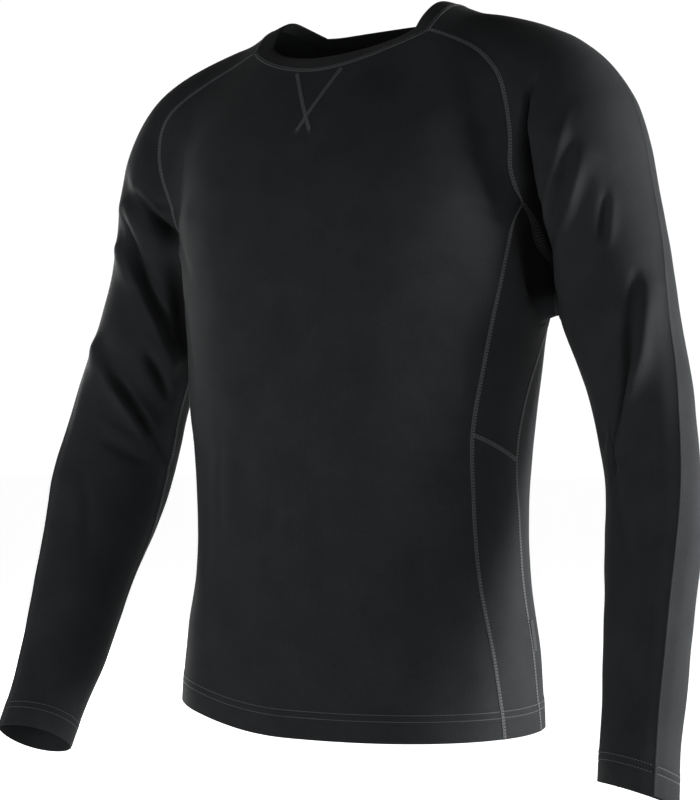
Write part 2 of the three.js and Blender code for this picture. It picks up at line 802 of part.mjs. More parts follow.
function bandGeometry() {
  const loop = neckLoop();
  const positions = [];
  const faces = [];
  const count = bandSection.length;
  loop.forEach((point, index) => {
    const ahead = loop[(index + 1) % loop.length];
    const behind = loop[(index + loop.length - 1) % loop.length];
    const tangent = ahead.clone().sub(behind).normalize();
    const normal = outwardNormal(point).addScaledVector(tangent, -outwardNormal(point).dot(tangent)).normalize();
    const inward = new THREE.Vector3(-point.x, -8 - point.y, 0).normalize();
    const lean = mix(bandLean, bandSideLean, smoothStep(Math.abs(point.x) / 90));
    const rise = new THREE.Vector3(0, 0, Math.sqrt(1 - lean ** 2)).addScaledVector(inward, lean);
    rise.addScaledVector(tangent, -rise.dot(tangent)).normalize();
    for (const corner of bandSection) {
      const place = point.clone()
        .addScaledVector(rise, seamGap / 2 + corner.up * bandHeight)
        .addScaledVector(normal, -corner.inward * bandThickness);
      positions.push(place.x, place.y, place.z);
    }
  });
  for (let index = 0; index < loop.length; index += 1) {
    const next = (index + 1) % loop.length;
    for (let corner = 0; corner < count; corner += 1) {
      const other = (corner + 1) % count;
      const a = index * count + corner;
      const b = next * count + corner;
      const c = next * count + other;
      const d = index * count + other;
      faces.push(a, b, c, a, c, d);
    }
  }
  return closedGeometry(positions, faces);
}

addPiece("collar_band", bandGeometry(), ribColour);

// Small label sewn into the left rear side seam, lying towards the back
function labelGrid() {
  const rows = [];
  for (let row = 0; row <= 4; row += 1) {
    const height = labelTop - labelLength * row / 4;
    const points = [];
    for (let column = 0; column <= 2; column += 1) {
      const edge = sideElevationPoint(backSideSeam, height);
      const origin = new THREE.Vector3(60, edge.y + 1 + labelWidth * column / 2, height);
      points.push(leaveForm(origin, new THREE.Vector3(1, 0, 0)));
    }
    rows.push(points);
  }
  return rows;
}

const labelClearance = seamGap + labelThickness;
addPiece("side_label", wallGeometry(labelGrid(), true, labelClearance, labelThickness), labelColour);

export default garment;
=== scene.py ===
import math

import bmesh
import bpy
import numpy as np
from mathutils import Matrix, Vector, noise
from mathutils.bvhtree import BVHTree
from mathutils.kdtree import KDTree


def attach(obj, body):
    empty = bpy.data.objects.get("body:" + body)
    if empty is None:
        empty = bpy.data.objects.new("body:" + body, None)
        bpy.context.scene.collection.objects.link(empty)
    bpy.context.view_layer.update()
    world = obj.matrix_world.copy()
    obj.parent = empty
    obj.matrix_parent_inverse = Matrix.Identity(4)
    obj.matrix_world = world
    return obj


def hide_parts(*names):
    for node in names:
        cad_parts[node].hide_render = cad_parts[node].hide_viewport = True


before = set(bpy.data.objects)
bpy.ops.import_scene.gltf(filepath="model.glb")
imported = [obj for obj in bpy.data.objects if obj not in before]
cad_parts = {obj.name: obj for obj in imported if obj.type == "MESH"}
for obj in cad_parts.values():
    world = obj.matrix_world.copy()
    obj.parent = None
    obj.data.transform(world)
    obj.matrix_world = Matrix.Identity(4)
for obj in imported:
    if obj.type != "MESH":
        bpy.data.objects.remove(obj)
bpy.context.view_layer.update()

# Long-sleeved base layer top in worn form
# Z is up, +X is the wearer's left and the front faces -Y
mm = 0.001
scene = bpy.context.scene
scene.view_settings.view_transform = "Standard"


# Materials

def toLinear(hexColour):
    shares = [int(hexColour[i:i + 2], 16) / 255 for i in (1, 3, 5)]
    return tuple(c / 12.92 if c <= 0.04045 else ((c + 0.055) / 1.055) ** 2.4 for c in shares) + (1,)


def addNode(material, kind, settings={}, links={}):
    node = material.node_tree.nodes.new(kind)
    for name, value in settings.items():
        if isinstance(name, int) or name in node.inputs:
            node.inputs[name].default_value = value
        else:
            setattr(node, name, value)
    for name, (source, output) in links.items():
        material.node_tree.links.new(source.outputs[output], node.inputs[name])
    return node


def newMaterial(name):
    material = bpy.data.materials.new(name)
    material.use_nodes = True
    material.node_tree.nodes.clear()
    return material


def waveScale(periodMm):
    # a band of Blender's wave repeats every 2 pi / 20 units at a scale of 1
    return 2 * math.pi / 20 / (periodMm * mm)


jersey = {
    "dark": "#1f2021",  # black dye, with painted shade in the hollows of the knit
    "light": "#2e3032",  # black dye, with painted highlight where the loops catch light
    "crease": "#060607",  # painted shade, where folded cloth shuts out the light
    "waleMm": 1.3,  # real wales are 0.7 mm apart, drawn coarser so that they show
    "courseMm": 1.1,
    "fibreMm": 3.0,  # tufts of the nap, drawn coarser than real so that they show
    "mottleMm": 45,  # slow change of tone over the cloth
    "courseShare": 0.45,  # of the courses against the wales
    "fibreShare": 1.3,  # of the fibres against the loops
    "grainShare": 0.45,  # of the grain against the mottle
    "tones": (0.65, 1.5),  # where their sum is darkest and lightest
    "roughness": 0.82,
    "sheen": 0.03,
    "sheenRoughness": 0.5,
    "gloss": 0.12,
    "bump": 0.16,
    "relief": 0.25,  # mm
}


def paintCreaseShade(material, look, colour):
    # the mesh says how far each place lies down in a crease, and shade is painted into the colour for it
    hollow = addNode(material, "ShaderNodeAttribute", {"attribute_name": "hollow"})
    return addNode(material, "ShaderNodeMix", {
        "data_type": "RGBA", 7: toLinear(look["crease"])}, {0: (hollow, "Fac"), 6: (colour, 2)})


def finishMaterial(material, look, colour, height):
    relief = addNode(material, "ShaderNodeBump", {
        "Strength": look["bump"], "Distance": look["relief"] * mm}, {"Height": height})
    surface = addNode(material, "ShaderNodeBsdfPrincipled", {
        "Roughness": look["roughness"], "Sheen Weight": look["sheen"],
        "Sheen Roughness": look["sheenRoughness"], "Specular IOR Level": look["gloss"]},
        {"Base Color": (colour, 2), "Normal": (relief, "Normal")})
    addNode(material, "ShaderNodeOutputMaterial", {}, {"Surface": (surface, "BSDF")})
    return material


def knitMaterial(name, look):
    # Polyester and elastane single jersey, brushed inside: matt, with a soft sheen at grazing angles
    material = newMaterial(name)
    cloth = addNode(material, "ShaderNodeUVMap", {"uv_map": "cloth"})
    wales = addNode(material, "ShaderNodeTexWave", {
        "wave_type": "BANDS", "bands_direction": "X", "Scale": waveScale(look["waleMm"]),
        "Distortion": 0.6, "Detail": 1.0, "Detail Scale": 2.0}, {"Vector": (cloth, "UV")})
    courses = addNode(material, "ShaderNodeTexWave", {
        "wave_type": "BANDS", "bands_direction": "Y", "Scale": waveScale(look["courseMm"]),
        "Distortion": 0.8, "Detail": 1.0, "Detail Scale": 2.0}, {"Vector": (cloth, "UV")})
    mottle = addNode(material, "ShaderNodeTexNoise", {
        "Scale": 1 / (look["mottleMm"] * mm), "Detail": 6.0, "Roughness": 0.62}, {"Vector": (cloth, "UV")})
    fibres = addNode(material, "ShaderNodeTexNoise", {
        "Scale": 1 / (look["fibreMm"] * mm), "Detail": 3.0, "Roughness": 0.7}, {"Vector": (cloth, "UV")})
    loops = addNode(material, "ShaderNodeMath", {"operation": "MULTIPLY_ADD", 1: look["courseShare"]},
                    {0: (courses, "Fac"), 2: (wales, "Fac")})
    grain = addNode(material, "ShaderNodeMath", {"operation": "MULTIPLY_ADD", 1: look["fibreShare"]},
                    {0: (fibres, "Fac"), 2: (loops, "Value")})
    tone = addNode(material, "ShaderNodeMath", {"operation": "MULTIPLY_ADD", 1: look["grainShare"]},
                   {0: (grain, "Value"), 2: (mottle, "Fac")})
    shade = addNode(material, "ShaderNodeMapRange", {
        "From Min": look["tones"][0], "From Max": look["tones"][1]}, {"Value": (tone, "Value")})
    # the dye's tone, with painted shade in the knit's hollows, painted highlight on its loops and a random
    # mottle
    colour = addNode(material, "ShaderNodeMix", {
        "data_type": "RGBA", 6: toLinear(look["dark"]), 7: toLinear(look["light"])},
        {0: (shade, "Result")})
    return finishMaterial(material, look, paintCreaseShade(material, look, colour), (grain, "Value"))


seamJersey = dict(jersey, dark="#28292b", light="#3a3c3e", waleMm=1.1, bump=0.25)

rib = dict(jersey, dark="#222324", light="#343638", waleMm=2.2, courseMm=1.2, bump=0.4, sheen=0.05)

thread = {
    "dark": "#4a4b4d",
    "light": "#6c6d70",  # textured polyester, a little paler than the cloth because it catches light
    # painted shade, where the thread lies in a crease
    "crease": "#0a0a0b",
    "strandMm": 0.5,
    "roughness": 0.55,
    "sheen": 0.25,
    "sheenRoughness": 0.5,
    "gloss": 0.4,
    "bump": 0.3,
    "relief": 0.1,  # mm
}


def threadMaterial(name, look):
    # Textured polyester overlock thread: soft, with a slight gloss along the strand
    material = newMaterial(name)
    place = addNode(material, "ShaderNodeTexCoord")
    strand = addNode(material, "ShaderNodeTexNoise", {
        "Scale": 1 / (look["strandMm"] * mm), "Detail": 2.0}, {"Vector": (place, "Object")})
    colour = addNode(material, "ShaderNodeMix", {
        "data_type": "RGBA", 6: toLinear(look["dark"]), 7: toLinear(look["light"])},
        {0: (strand, "Fac")})
    return finishMaterial(material, look, paintCreaseShade(material, look, colour), (strand, "Fac"))


tape = {
    "dark": "#161617",
    "light": "#2b2c2e",
    "warpMm": 0.9,  # real threads are about 0.25 mm apart, drawn coarser so that they show
    "weftMm": 0.9,
    "roughness": 0.5,
    "sheen": 0,
    "sheenRoughness": 0.5,
    "gloss": 0.4,
    "bump": 0.4,
    "relief": 0.15,  # mm
}


def tapeMaterial(name, look):
    # Woven polyester label tape: a flat, slightly glossy plain weave
    material = newMaterial(name)
    place = addNode(material, "ShaderNodeTexCoord")
    warp = addNode(material, "ShaderNodeTexWave", {
        "bands_direction": "Y", "Scale": waveScale(look["warpMm"])}, {"Vector": (place, "Object")})
    weft = addNode(material, "ShaderNodeTexWave", {
        "bands_direction": "Z", "Scale": waveScale(look["weftMm"])}, {"Vector": (place, "Object")})
    weave = addNode(material, "ShaderNodeMath", {"operation": "MULTIPLY"},
                    {0: (warp, "Fac"), 1: (weft, "Fac")})
    colour = addNode(material, "ShaderNodeMix", {
        "data_type": "RGBA", 6: toLinear(look["dark"]), 7: toLinear(look["light"])},
        {0: (weave, "Value")})
    return finishMaterial(material, look, colour, (weave, "Value"))


jerseyKnit = knitMaterial("brushed single jersey", jersey)
ribKnit = knitMaterial("fine rib knit", rib)
seamCloth = knitMaterial("pressed seam jersey", seamJersey)
overlockThread = threadMaterial("textured overlock thread", thread)
labelTape = tapeMaterial("woven label tape", tape)
print("materials made")


# Reading the garment's walls from the frame

# Each panel's grid of cells starts at one corner and runs first towards the next, in mm
# Places are given on the wearer's left and mirrored for the right
# along and across are how many finer cells are laid in each cell of the solid
cuts = {
    "front": {
        "columns": 26, "start": (-182, -66, -682), "towards": (182, -66, -698), "along": 6, "across": 5,
        "middle": "body"},
    "back": {
        "columns": 26, "start": (-189, -3, -682), "towards": (189, -3, -698), "along": 6, "across": 5,
        "middle": "body"},
    "side_lower": {
        "columns": 8, "start": (182, -66, -698), "towards": (189, -3, -698), "along": 6, "across": 6,
        "middle": "body"},
    "side_upper": {
        "columns": 8, "start": (158, -85, -416), "towards": (177, -30, -440), "along": 6, "across": 6,
        "middle": "armpit"},
    "sleeve_front": {
        "columns": 12, "start": (105, 4, 5), "towards": (98, -60, -29), "along": 8, "across": 7,
        "middle": "arm"},
    "sleeve_back": {
        "columns": 12, "start": (105, 4, 5), "towards": (88, 50, -4), "along": 8, "across": 7,
        "middle": "arm"},
}

# Lines through the hollow garment, which tell a wall's outside from its inside
middles = {
    "body": ((0, -12, -760), (0, -12, 40)),
    "armpit": ((60, -12, -450), (120, -10, -330), (190, -5, -250)),
    "arm": ((20, 2, -74), (150, 2, -85), (222, -2, -140), (254, 2, -243),
            (291, -8, -370), (316, -38, -510), (340, -138, -745)),
}

cloth = {
    "wall": 1.8,  # the solid's wall, in mm
    "thickness": 1.1,  # the shown jersey, in mm
    "merge": 0.02,  # corners of the solid closer than this are one, in mm
    "near": 12,  # corners looked through for the one across the wall
    "rounds": 3,  # of taking the solid's own folds off
    "slack": 1.0,  # height of the soft unevenness, in mm
    "slackWide": 70,  # its wide and its fine waves, in mm
    "slackFine": 32,
    "ridge": 4.5,  # height of the corner along the sleeve's outer seam, in mm
    "ridgeFrom": 0.14,  # it grows from here down, in shares of the sleeve's length
    "ridgeOver": 0.3,
    "ridgeReach": 15,  # mm
    "blackAt": 8,  # depth at which a crease's painted shade is more than half its darkest, in mm
    # the most that painted crease shade darkens the colour
    "blackest": 0.94,
}

# The photo's camera, which also places the folds that it sees
view = {
    "place": (892.6, -1526.3, -435),  # mm, level with the wearer's waist
    "azimuth": 31,
    "lens": 78.75,
    "shift": 0.069,
    "film": 36,  # mm along the photo's long side
    "photo": (700, 800),  # px
    "far": 50,  # m
}


def seenAt(pixel, tree):
    # the place in mm that the camera sees at a pixel of the photo
    wide, high = view["photo"]
    scale = view["film"] / high / view["lens"]
    right, up = (pixel[0] - wide / 2) * scale, (high / 2 + view["shift"] * high - pixel[1]) * scale
    turn = math.radians(view["azimuth"])
    way = Vector((math.cos(turn) * right - math.sin(turn), math.sin(turn) * right + math.cos(turn), up))
    return np.array(tree.ray_cast(Vector(view["place"]) * mm, way.normalized())[0]) / mm


def distanceToLine(points, line):
    # distance to a line of straight pieces, and the share of the line at which it is nearest
    line = np.array(line, float)
    runs = line[1:] - line[:-1]
    lengths = np.linalg.norm(runs, axis=1)
    away = np.full(points.shape[:-1], np.inf)
    share = np.zeros(points.shape[:-1])
    gone = 0
    for start, run, length in zip(line, runs, lengths):
        t = np.clip((points - start) @ run / length ** 2, 0, 1)
        found = np.linalg.norm(points - start - t[..., None] * run, axis=-1)
        share = np.where(found < away, (gone + t * length) / lengths.sum(), share)
        away = np.minimum(away, found)
        gone += length
    return away, share


def readWall(node, cut):
    # the outer points of a solid's wall in rows and columns, and the way out of the cloth at each
    side = -1 if node.endswith("right") else 1
    shell = bmesh.new()
    shell.from_mesh(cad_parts[node].data)
    bmesh.ops.remove_doubles(shell, verts=shell.verts, dist=cloth["merge"] * mm)
    shell.verts.index_update()
    points = np.array([vert.co for vert in shell.verts])
    tree = KDTree(len(points))
    for index, point in enumerate(points):
        tree.insert(point, index)
    tree.balance()
    depth = distanceToLine(points, np.array(middles[cut["middle"]]) * (side, 1, 1) * mm)[0]
    partner = []
    for index, point in enumerate(points):
        near = [found for found in tree.find_n(point, cloth["near"]) if found[1] != index]
        partner.append(min(near, key=lambda found: abs(found[2] - cloth["wall"] * mm))[1])
    outward = points - points[partner]
    isOuter = outerPoints(shell, outward, int(np.argmax(depth - depth[partner])))
    links, uses = {}, {}
    for face in shell.faces:
        ring = [vert.index for vert in face.verts]
        if not isOuter.issuperset(ring):
            continue
        for a, b in zip(ring, ring[1:] + ring[:1]):
            links.setdefault(a, set()).add(b)
            links.setdefault(b, set()).add(a)
            uses[frozenset((a, b))] = uses.get(frozenset((a, b)), 0) + 1
    shell.free()
    rim = {}
    for a, b in (tuple(edge) for edge, count in uses.items() if count == 1):
        rim.setdefault(a, []).append(b)
        rim.setdefault(b, []).append(a)
    loop = walkRim(points, rim, np.array(cut["start"]) * (side, 1, 1) * mm,
                   np.array(cut["towards"]) * (side, 1, 1) * mm)
    rows = walkRows(loop, links, cut["columns"])
    return points[rows], outward[rows]


def outerPoints(shell, outward, first):
    # spreads over the outside from one of its points, and never round the rim
    shell.verts.ensure_lookup_table()
    found, waiting = {first}, [first]
    while waiting:
        here = waiting.pop()
        for edge in shell.verts[here].link_edges:
            there = edge.other_vert(shell.verts[here]).index
            if there not in found and outward[here] @ outward[there] > 0:
                found.add(there)
                waiting.append(there)
    return found


def walkRim(points, rim, start, towards):
    first = min(rim, key=lambda index: np.linalg.norm(points[index] - start))
    second = min(rim[first], key=lambda index: np.linalg.norm(points[index] - towards))
    loop = [first, second]
    while len(loop) < len(rim):
        loop.append(next(index for index in rim[loop[-1]] if index != loop[-2]))
    return loop


def walkRows(loop, links, columns):
    rows = [loop[:columns + 1]]
    seen = set(rows[0])
    for step in range(1, len(loop) // 2 - columns + 1):
        row = [loop[-step]]
        for above in rows[-1][1:]:
            seen.add(row[-1])
            row.append(((links[row[-1]] & links[above]) - seen).pop())
        seen.add(row[-1])
        rows.append(row)
    return np.array(rows)


def splineWeights(count, steps):
    # carries values at count places onto a smooth curve with more steps in each cell
    weights = np.zeros(((count - 1) * steps + 1, count))
    for row in range(len(weights)):
        cell = min(row // steps, count - 2)
        t = row / steps - cell
        shares = (-t / 2 + t ** 2 - t ** 3 / 2, 1 - 2.5 * t ** 2 + 1.5 * t ** 3,
                  t / 2 + 2 * t ** 2 - 1.5 * t ** 3, -t ** 2 / 2 + t ** 3 / 2)
        for offset, share in zip((-1, 0, 1, 2), shares):
            place = cell + offset
            if place < 0:
                weights[row, 0] += 2 * share
                weights[row, 1] -= share
            elif place >= count:
                weights[row, count - 1] += 2 * share
                weights[row, count - 2] -= share
            else:
                weights[row, place] += share
    return weights


def refine(values, alongSteps, acrossSteps):
    along = splineWeights(values.shape[0], alongSteps)
    across = splineWeights(values.shape[1], acrossSteps)
    return np.einsum("ri,cj,ijk->rck", along, across, values)


def unit(vectors):
    return vectors / np.linalg.norm(vectors, axis=-1, keepdims=True)


def smoothStep(share):
    return share * share * (3 - 2 * share)


def arcLengths(grid, axis):
    steps = np.linalg.norm(np.diff(grid, axis=axis), axis=2)
    pad = [(0, 0), (0, 0)]
    pad[axis] = (1, 0)
    return np.pad(np.cumsum(steps, axis=axis), pad)


# Folds and creases

# The solids' own folds, taken off their coarse cells and laid again on the fine ones
# Each is a ridge, or a trough where negative, through three places, in mm
# side is 1 on the wearer's left, -1 on the right and 0 on both
mainFolds = (
    {"side": 0, "height": -2.5, "width": 13, "line": ((195, -66, -118), (199, -62, -180), (201, -50, -228))},
    {"side": 1, "height": 4.5, "width": 12, "line": ((236, -68, -150), (219, -59, -201), (212, -42, -250))},
    {"side": 1, "height": 3.5, "width": 13, "line": ((258, -62, -165), (239, -58, -225), (222, -38, -272))},
    {"side": 1, "height": 4, "width": 13, "line": ((313, -42, -290), (310, -58, -356), (284, -51, -424))},
    {"side": 1, "height": -4, "width": 13, "line": ((297, -48, -325), (288, -56, -372), (266, -36, -416))},
    {"side": -1, "height": -4, "width": 13, "line": ((268, -57, -150), (242, -66, -173), (206, -56, -206))},
    {"side": -1, "height": 3.5, "width": 13, "line": ((270, -55, -172), (242, -62, -194), (212, -50, -226))},
    {"side": -1, "height": -4, "width": 13, "line": ((276, -52, -200), (252, -56, -242), (228, -33, -310))},
    {"side": -1, "height": 4.5, "width": 12, "line": ((284, -49, -214), (256, -55, -256), (232, -24, -336))},
    {"side": -1, "height": 4, "width": 13, "line": ((314, -50, -320), (284, -54, -364), (257, -25, -410))},
    {"side": -1, "height": -3.5, "width": 13, "line": ((300, -58, -318), (278, -56, -346), (252, -32, -380))},
    {"side": 0, "height": 4, "width": 13, "line": ((238, 58, -150), (220, 52, -205), (210, 34, -262))},
    {"side": 0, "height": 3, "width": 14, "line": ((262, 52, -175), (244, 50, -232), (228, 34, -286))},
    {"side": 1, "height": -2.5, "width": 19, "line": ((62, -141, -405), (74, -136, -480), (86, -135, -556))},
    {"side": -1, "height": -2, "width": 19, "line": ((58, -141, -430), (58, -143, -505), (52, -146, -580))},
    {"side": -1, "height": -2, "width": 17, "line": ((118, -118, -440), (124, -113, -480), (122, -118, -540))},
    {"side": 0, "height": 2, "width": 15, "line": ((150, -105, -196), (176, -84, -208), (198, -62, -214))},
    {"side": 0, "height": -2.5, "width": 16, "line": ((0, 106, -438), (60, 100, -430), (118, 78, -408))},
    {"side": 0, "height": -2, "width": 16, "line": ((20, 104, -476), (76, 96, -470), (130, 70, -452))},
)


# How a sharper crease fades along its line
fading = {"shares": (0.02, 0.98), "power": 0.6}


def foldHeight(points, folds, fades):
    height = np.zeros(points.shape[:-1])
    for fold in folds:
        for side in ((1, -1) if fold["side"] == 0 else (fold["side"],)):
            line = np.array(fold["line"]) * (side, 1, 1) * mm
            away, share = distanceToLine(points, line)
            bump = fold["height"] * mm * np.exp(-(away / (fold["width"] * mm)) ** 2)
            if fades:
                bump *= np.sin(np.pi * np.clip(share, *fading["shares"])) ** fading["power"]
            if fold["side"] == 0:
                bump *= points[..., 0] * side >= 0
            height += bump
    return height


# Where the seams sit off the solid's: place, reach and shift, in mm
seamShifts = (
    {"place": (-178, -52, -95), "reach": 60, "shift": (-30, -4, 2)},
    {"place": (205, -66, -135), "reach": 55, "shift": (-12, 0, 0)},
    {"place": (208, -66, -180), "reach": 36, "shift": (-6, 0, 0)},
)


def shiftSeams(grid):
    moved = grid.copy()
    for row in seamShifts:
        away = np.linalg.norm(grid - np.array(row["place"]) * mm, axis=2) / (row["reach"] * mm)
        moved += np.exp(-away ** 2)[..., None] * np.array(row["shift"]) * mm
    return moved


def slackness(grid):
    # the gentle unevenness of soft cloth
    wide, fine = cloth["slackWide"] * mm, cloth["slackFine"] * mm
    calm = np.array([noise.noise(Vector(point) / wide) + 0.5 * noise.noise(Vector(point) / fine)
                     for point in grid.reshape(-1, 3)])
    return calm.reshape(grid.shape[:2]) * cloth["slack"] * mm


def pressedRidge(grid):
    # the sleeve turns a corner along its outer seam, from below the shoulder down
    down = np.linspace(0, 1, len(grid))[:, None]
    share = np.clip((down - cloth["ridgeFrom"]) / cloth["ridgeOver"], 0, 1)
    away = arcLengths(grid, 1)
    return cloth["ridge"] * mm * smoothStep(share) * np.exp(-away / (cloth["ridgeReach"] * mm))


def smoothGrid(node, cut):
    # fine rows and columns of the shown cloth without its folds, and its way out
    points, outward = readWall(node, cut)
    flat = points
    for _ in range(cloth["rounds"]):
        flat = points - unit(outward) * foldHeight(flat, mainFolds, False)[..., None]
    grid = shiftSeams(refine(flat, cut["along"], cut["across"]))
    return grid, unit(refine(unit(outward), cut["along"], cut["across"]))


def foldGrid(node, grid, normals, sharpFolds):
    # the cloth with its folds, and how much shade is painted at each place for its depth
    creases = foldHeight(grid, sharpFolds, True)
    # painted shade, darker the deeper the crease
    hollow = cloth["blackest"] * (1 - np.exp(-(np.minimum(creases, 0) / (cloth["blackAt"] * mm)) ** 2))
    height = foldHeight(grid, mainFolds, False) + creases + turnedUp(node, grid) + slackness(grid)
    if node.startswith("sleeve"):
        height += pressedRidge(grid)
    return grid + normals * height[..., None], normals, hollow


# Hem and cuffs are turned up inside and held by two rows of stitches, in mm above the edge
# thread is half its thickness
hem = {"rows": (20, 26), "fold": 28, "rise": 0.5, "dip": 0.45, "pitch": 2.9, "thread": 0.34}
cuff = {"rows": (19, 25), "fold": 27, "rise": 0.5, "dip": 0.4, "pitch": 2.7, "thread": 0.32}

# How both are drawn
turning = {
    "below": 1,  # the step at the fold starts this far below it, in mm
    "step": 3,  # and is this wide
    "lip": 0.5,  # the shown cloth's first row above the edge, in mm
    "spacing": 4,  # then its rows stand this far apart
    "clear": (3, 2),  # below the first stitches and above the last close row
    "stitchRows": (-1.8, -0.8, 0, 0.8, 1.8),  # close rows about each row of stitches
    "foldRows": (-1, 0.5, 2, 4),  # and about the fold
    "press": 0.7,  # half the width that a row of stitches presses in
    "stitch": 0.8,  # a stitch's share of its pitch
    "up": 0.4,  # the thread's middle stands out by this share of its half thickness
    "down": 0.1,  # less this, in mm
}


def edgeWork(node):
    if node.startswith("sleeve"):
        return cuff
    return None if node.startswith("side_upper") else hem


def heightAboveEdge(node, grid):
    lengths = arcLengths(grid, 0)
    return lengths[-1] - lengths if node.startswith("sleeve") else lengths


def turnedUp(node, grid):
    work = edgeWork(node)
    if work is None:
        return np.zeros(grid.shape[:2])
    above = heightAboveEdge(node, grid) / mm
    share = np.clip((above - work["fold"] + turning["below"]) / turning["step"], 0, 1)
    return work["rise"] * mm * (1 - smoothStep(share))


# Sharper creases, laid on the fine cells alone and fading at both ends
# Those seen in the photo run through its pixels, from the top down
photoFolds = (
    # wearer's left sleeve: the deep valley beside the armhole
    {"height": -10, "width": 3.5, "photo": ((536, 77), (526, 96), (521, 122), (521, 165))},
    {"height": -17, "width": 6, "photo": ((521, 130), (525, 175), (533, 222))},
    {"height": -32, "width": 12, "photo": ((528, 196), (539, 250), (548, 306))},
    {"height": -9, "width": 10, "photo": ((526, 216), (534, 255), (541, 300))},
    # the ridges that run down from the shoulder, and their troughs
    {"height": 5, "width": 5, "photo": ((566, 115), (555, 170), (546, 225), (556, 304))},
    {"height": -4, "width": 4.5, "photo": ((572, 138), (562, 190), (554, 242))},
    {"height": 4, "width": 5, "photo": ((581, 158), (570, 207), (559, 258))},
    {"height": -2.5, "width": 6, "photo": ((590, 172), (580, 218), (567, 262))},
    {"height": -4.5, "width": 4, "photo": ((606, 192), (603, 218), (601, 242))},
    {"height": 1.6, "width": 5, "photo": ((613, 198), (611, 224), (607, 250))},
    {"height": -9, "width": 5.5, "photo": ((636, 274), (627, 354), (619, 418), (612, 458))},
    {"height": 5, "width": 7, "photo": ((644, 290), (640, 354), (628, 412), (617, 458))},
    {"height": -4.5, "width": 6, "photo": ((605, 415), (611, 447), (612, 482))},
    {"height": -1.8, "width": 8, "photo": ((612, 452), (618, 500), (627, 556))},
    {"height": 1.6, "width": 7, "photo": ((627, 470), (635, 530), (648, 585))},
    # wearer's right sleeve: diagonal drags from the armpit and across the elbow
    {"height": 3.5, "width": 5, "photo": ((130, 181), (146, 200), (168, 226))},
    {"height": -7, "width": 4.5, "photo": ((135, 190), (149, 210), (164, 228), (178, 242))},
    {"height": -6, "width": 6, "photo": ((152, 216), (166, 233), (176, 246))},
    {"height": -2.5, "width": 4.5, "photo": ((143, 198), (162, 206), (178, 213))},
    {"height": -9, "width": 6.5, "photo": ((124, 212), (132, 252), (147, 290), (165, 322), (174, 352))},
    {"height": 4.5, "width": 5.5, "photo": ((123, 246), (143, 292), (159, 330), (173, 364))},
    {"height": -10, "width": 10, "photo": ((170, 256), (179, 300), (185, 362))},
    {"height": -8, "width": 5.5, "photo": ((146, 352), (158, 374), (169, 400))},
    {"height": -8, "width": 5.5, "photo": ((110, 368), (126, 394), (143, 421), (168, 468))},
    {"height": 4, "width": 6, "photo": ((101, 359), (114, 389), (133, 418), (152, 446))},
    {"height": -3, "width": 6, "photo": ((100, 439), (125, 452), (150, 462))},
    {"height": 2, "width": 6, "photo": ((96, 418), (122, 434), (147, 448))},
    {"height": -2.4, "width": 5.5, "photo": ((131, 238), (146, 264), (166, 298))},
    {"height": -1.6, "width": 7, "photo": ((80, 462), (87, 505), (88, 560))},
)

# The others run through places in mm, and those that nobody sees are guessed
plainFolds = (
    # body: drags from the armpits and slack below the chest
    {"side": 1, "height": -2.4, "width": 6, "line": ((152, -104, -206), (174, -85, -212), (195, -62, -217))},
    {"side": 1, "height": -1.8, "width": 8, "line": ((112, -126, -246), (142, -112, -262), (170, -88, -288))},
    {"side": 1, "height": 1.5, "width": 9, "line": ((120, -122, -300), (146, -108, -336), (160, -92, -396))},
    {"side": -1, "height": -2.4, "width": 7, "line": ((190, -66, -204), (164, -96, -228), (136, -114, -262))},
    {"side": -1, "height": -1.6, "width": 8, "line": ((184, -70, -262), (160, -96, -300), (140, -108, -352))},
    {"side": -1, "height": -1.5, "width": 10, "line": ((26, -144, -420), (24, -146, -500), (30, -148, -570))},
    {"side": -1, "height": -1.4, "width": 9, "line": ((92, -132, -400), (98, -128, -462), (94, -132, -530))},
    {"side": 1, "height": -1.4, "width": 9, "line": ((24, -144, -452), (30, -144, -520), (28, -148, -596))},
    {"side": 1, "height": -1.6, "width": 8, "line": ((118, -120, -500), (126, -116, -560), (124, -124, -630))},
    # back: drags below the shoulder blades and slack at the waist
    {"side": 1, "height": -3, "width": 8, "line": ((192, 50, -206), (162, 83, -242), (118, 101, -296))},
    {"side": -1, "height": -2.6, "width": 7, "line": ((190, 52, -222), (158, 86, -262), (108, 104, -300))},
    {"side": 1, "height": 2, "width": 8, "line": ((188, 56, -246), (154, 88, -286), (104, 104, -330))},
    {"side": -1, "height": -2.4, "width": 8, "line": ((8, 106, -455), (66, 98, -448), (132, 70, -430))},
    {"side": 1, "height": -2, "width": 9, "line": ((-20, 106, -500), (50, 100, -494), (120, 76, -474))},
    {"side": -1, "height": 1.8, "width": 8, "line": ((-30, 106, -526), (40, 102, -520), (104, 86, -504))},
    {"side": 0, "height": -1.5, "width": 10, "line": ((40, 112, -560), (46, 114, -610), (42, 116, -660))},
    # backs and undersides of the sleeves
    {"side": 1, "height": -2.8, "width": 7, "line": ((254, 58, -158), (227, 56, -216), (212, 38, -272))},
    {"side": -1, "height": -2.4, "width": 8, "line": ((262, 54, -176), (236, 54, -228), (216, 38, -290))},
    {"side": 1, "height": -2.4, "width": 7, "line": ((250, -14, -356), (262, 18, -372), (290, 28, -384))},
    {"side": -1, "height": -2.8, "width": 7, "line": ((248, -10, -342), (264, 20, -352), (292, 28, -372))},
    {"side": 0, "height": -1.8, "width": 8, "line": ((262, -10, -402), (274, 12, -416), (298, 16, -428))},
    {"side": 0, "height": -1.6, "width": 8, "line": ((322, 2, -330), (326, -12, -384), (322, -34, -446))},
)


def surfaceTree(grids):
    # the laid cloth as one surface for rays to meet
    points, faces = [], []
    for grid in grids:
        places = len(points) + np.arange(grid[..., 0].size).reshape(grid.shape[:2])
        points += grid.reshape(-1, 3).tolist()
        corners = [places[:-1, :-1], places[:-1, 1:], places[1:, 1:], places[1:, :-1]]
        faces += np.stack(corners, axis=2).reshape(-1, 4).tolist()
    return BVHTree.FromPolygons(points, faces)


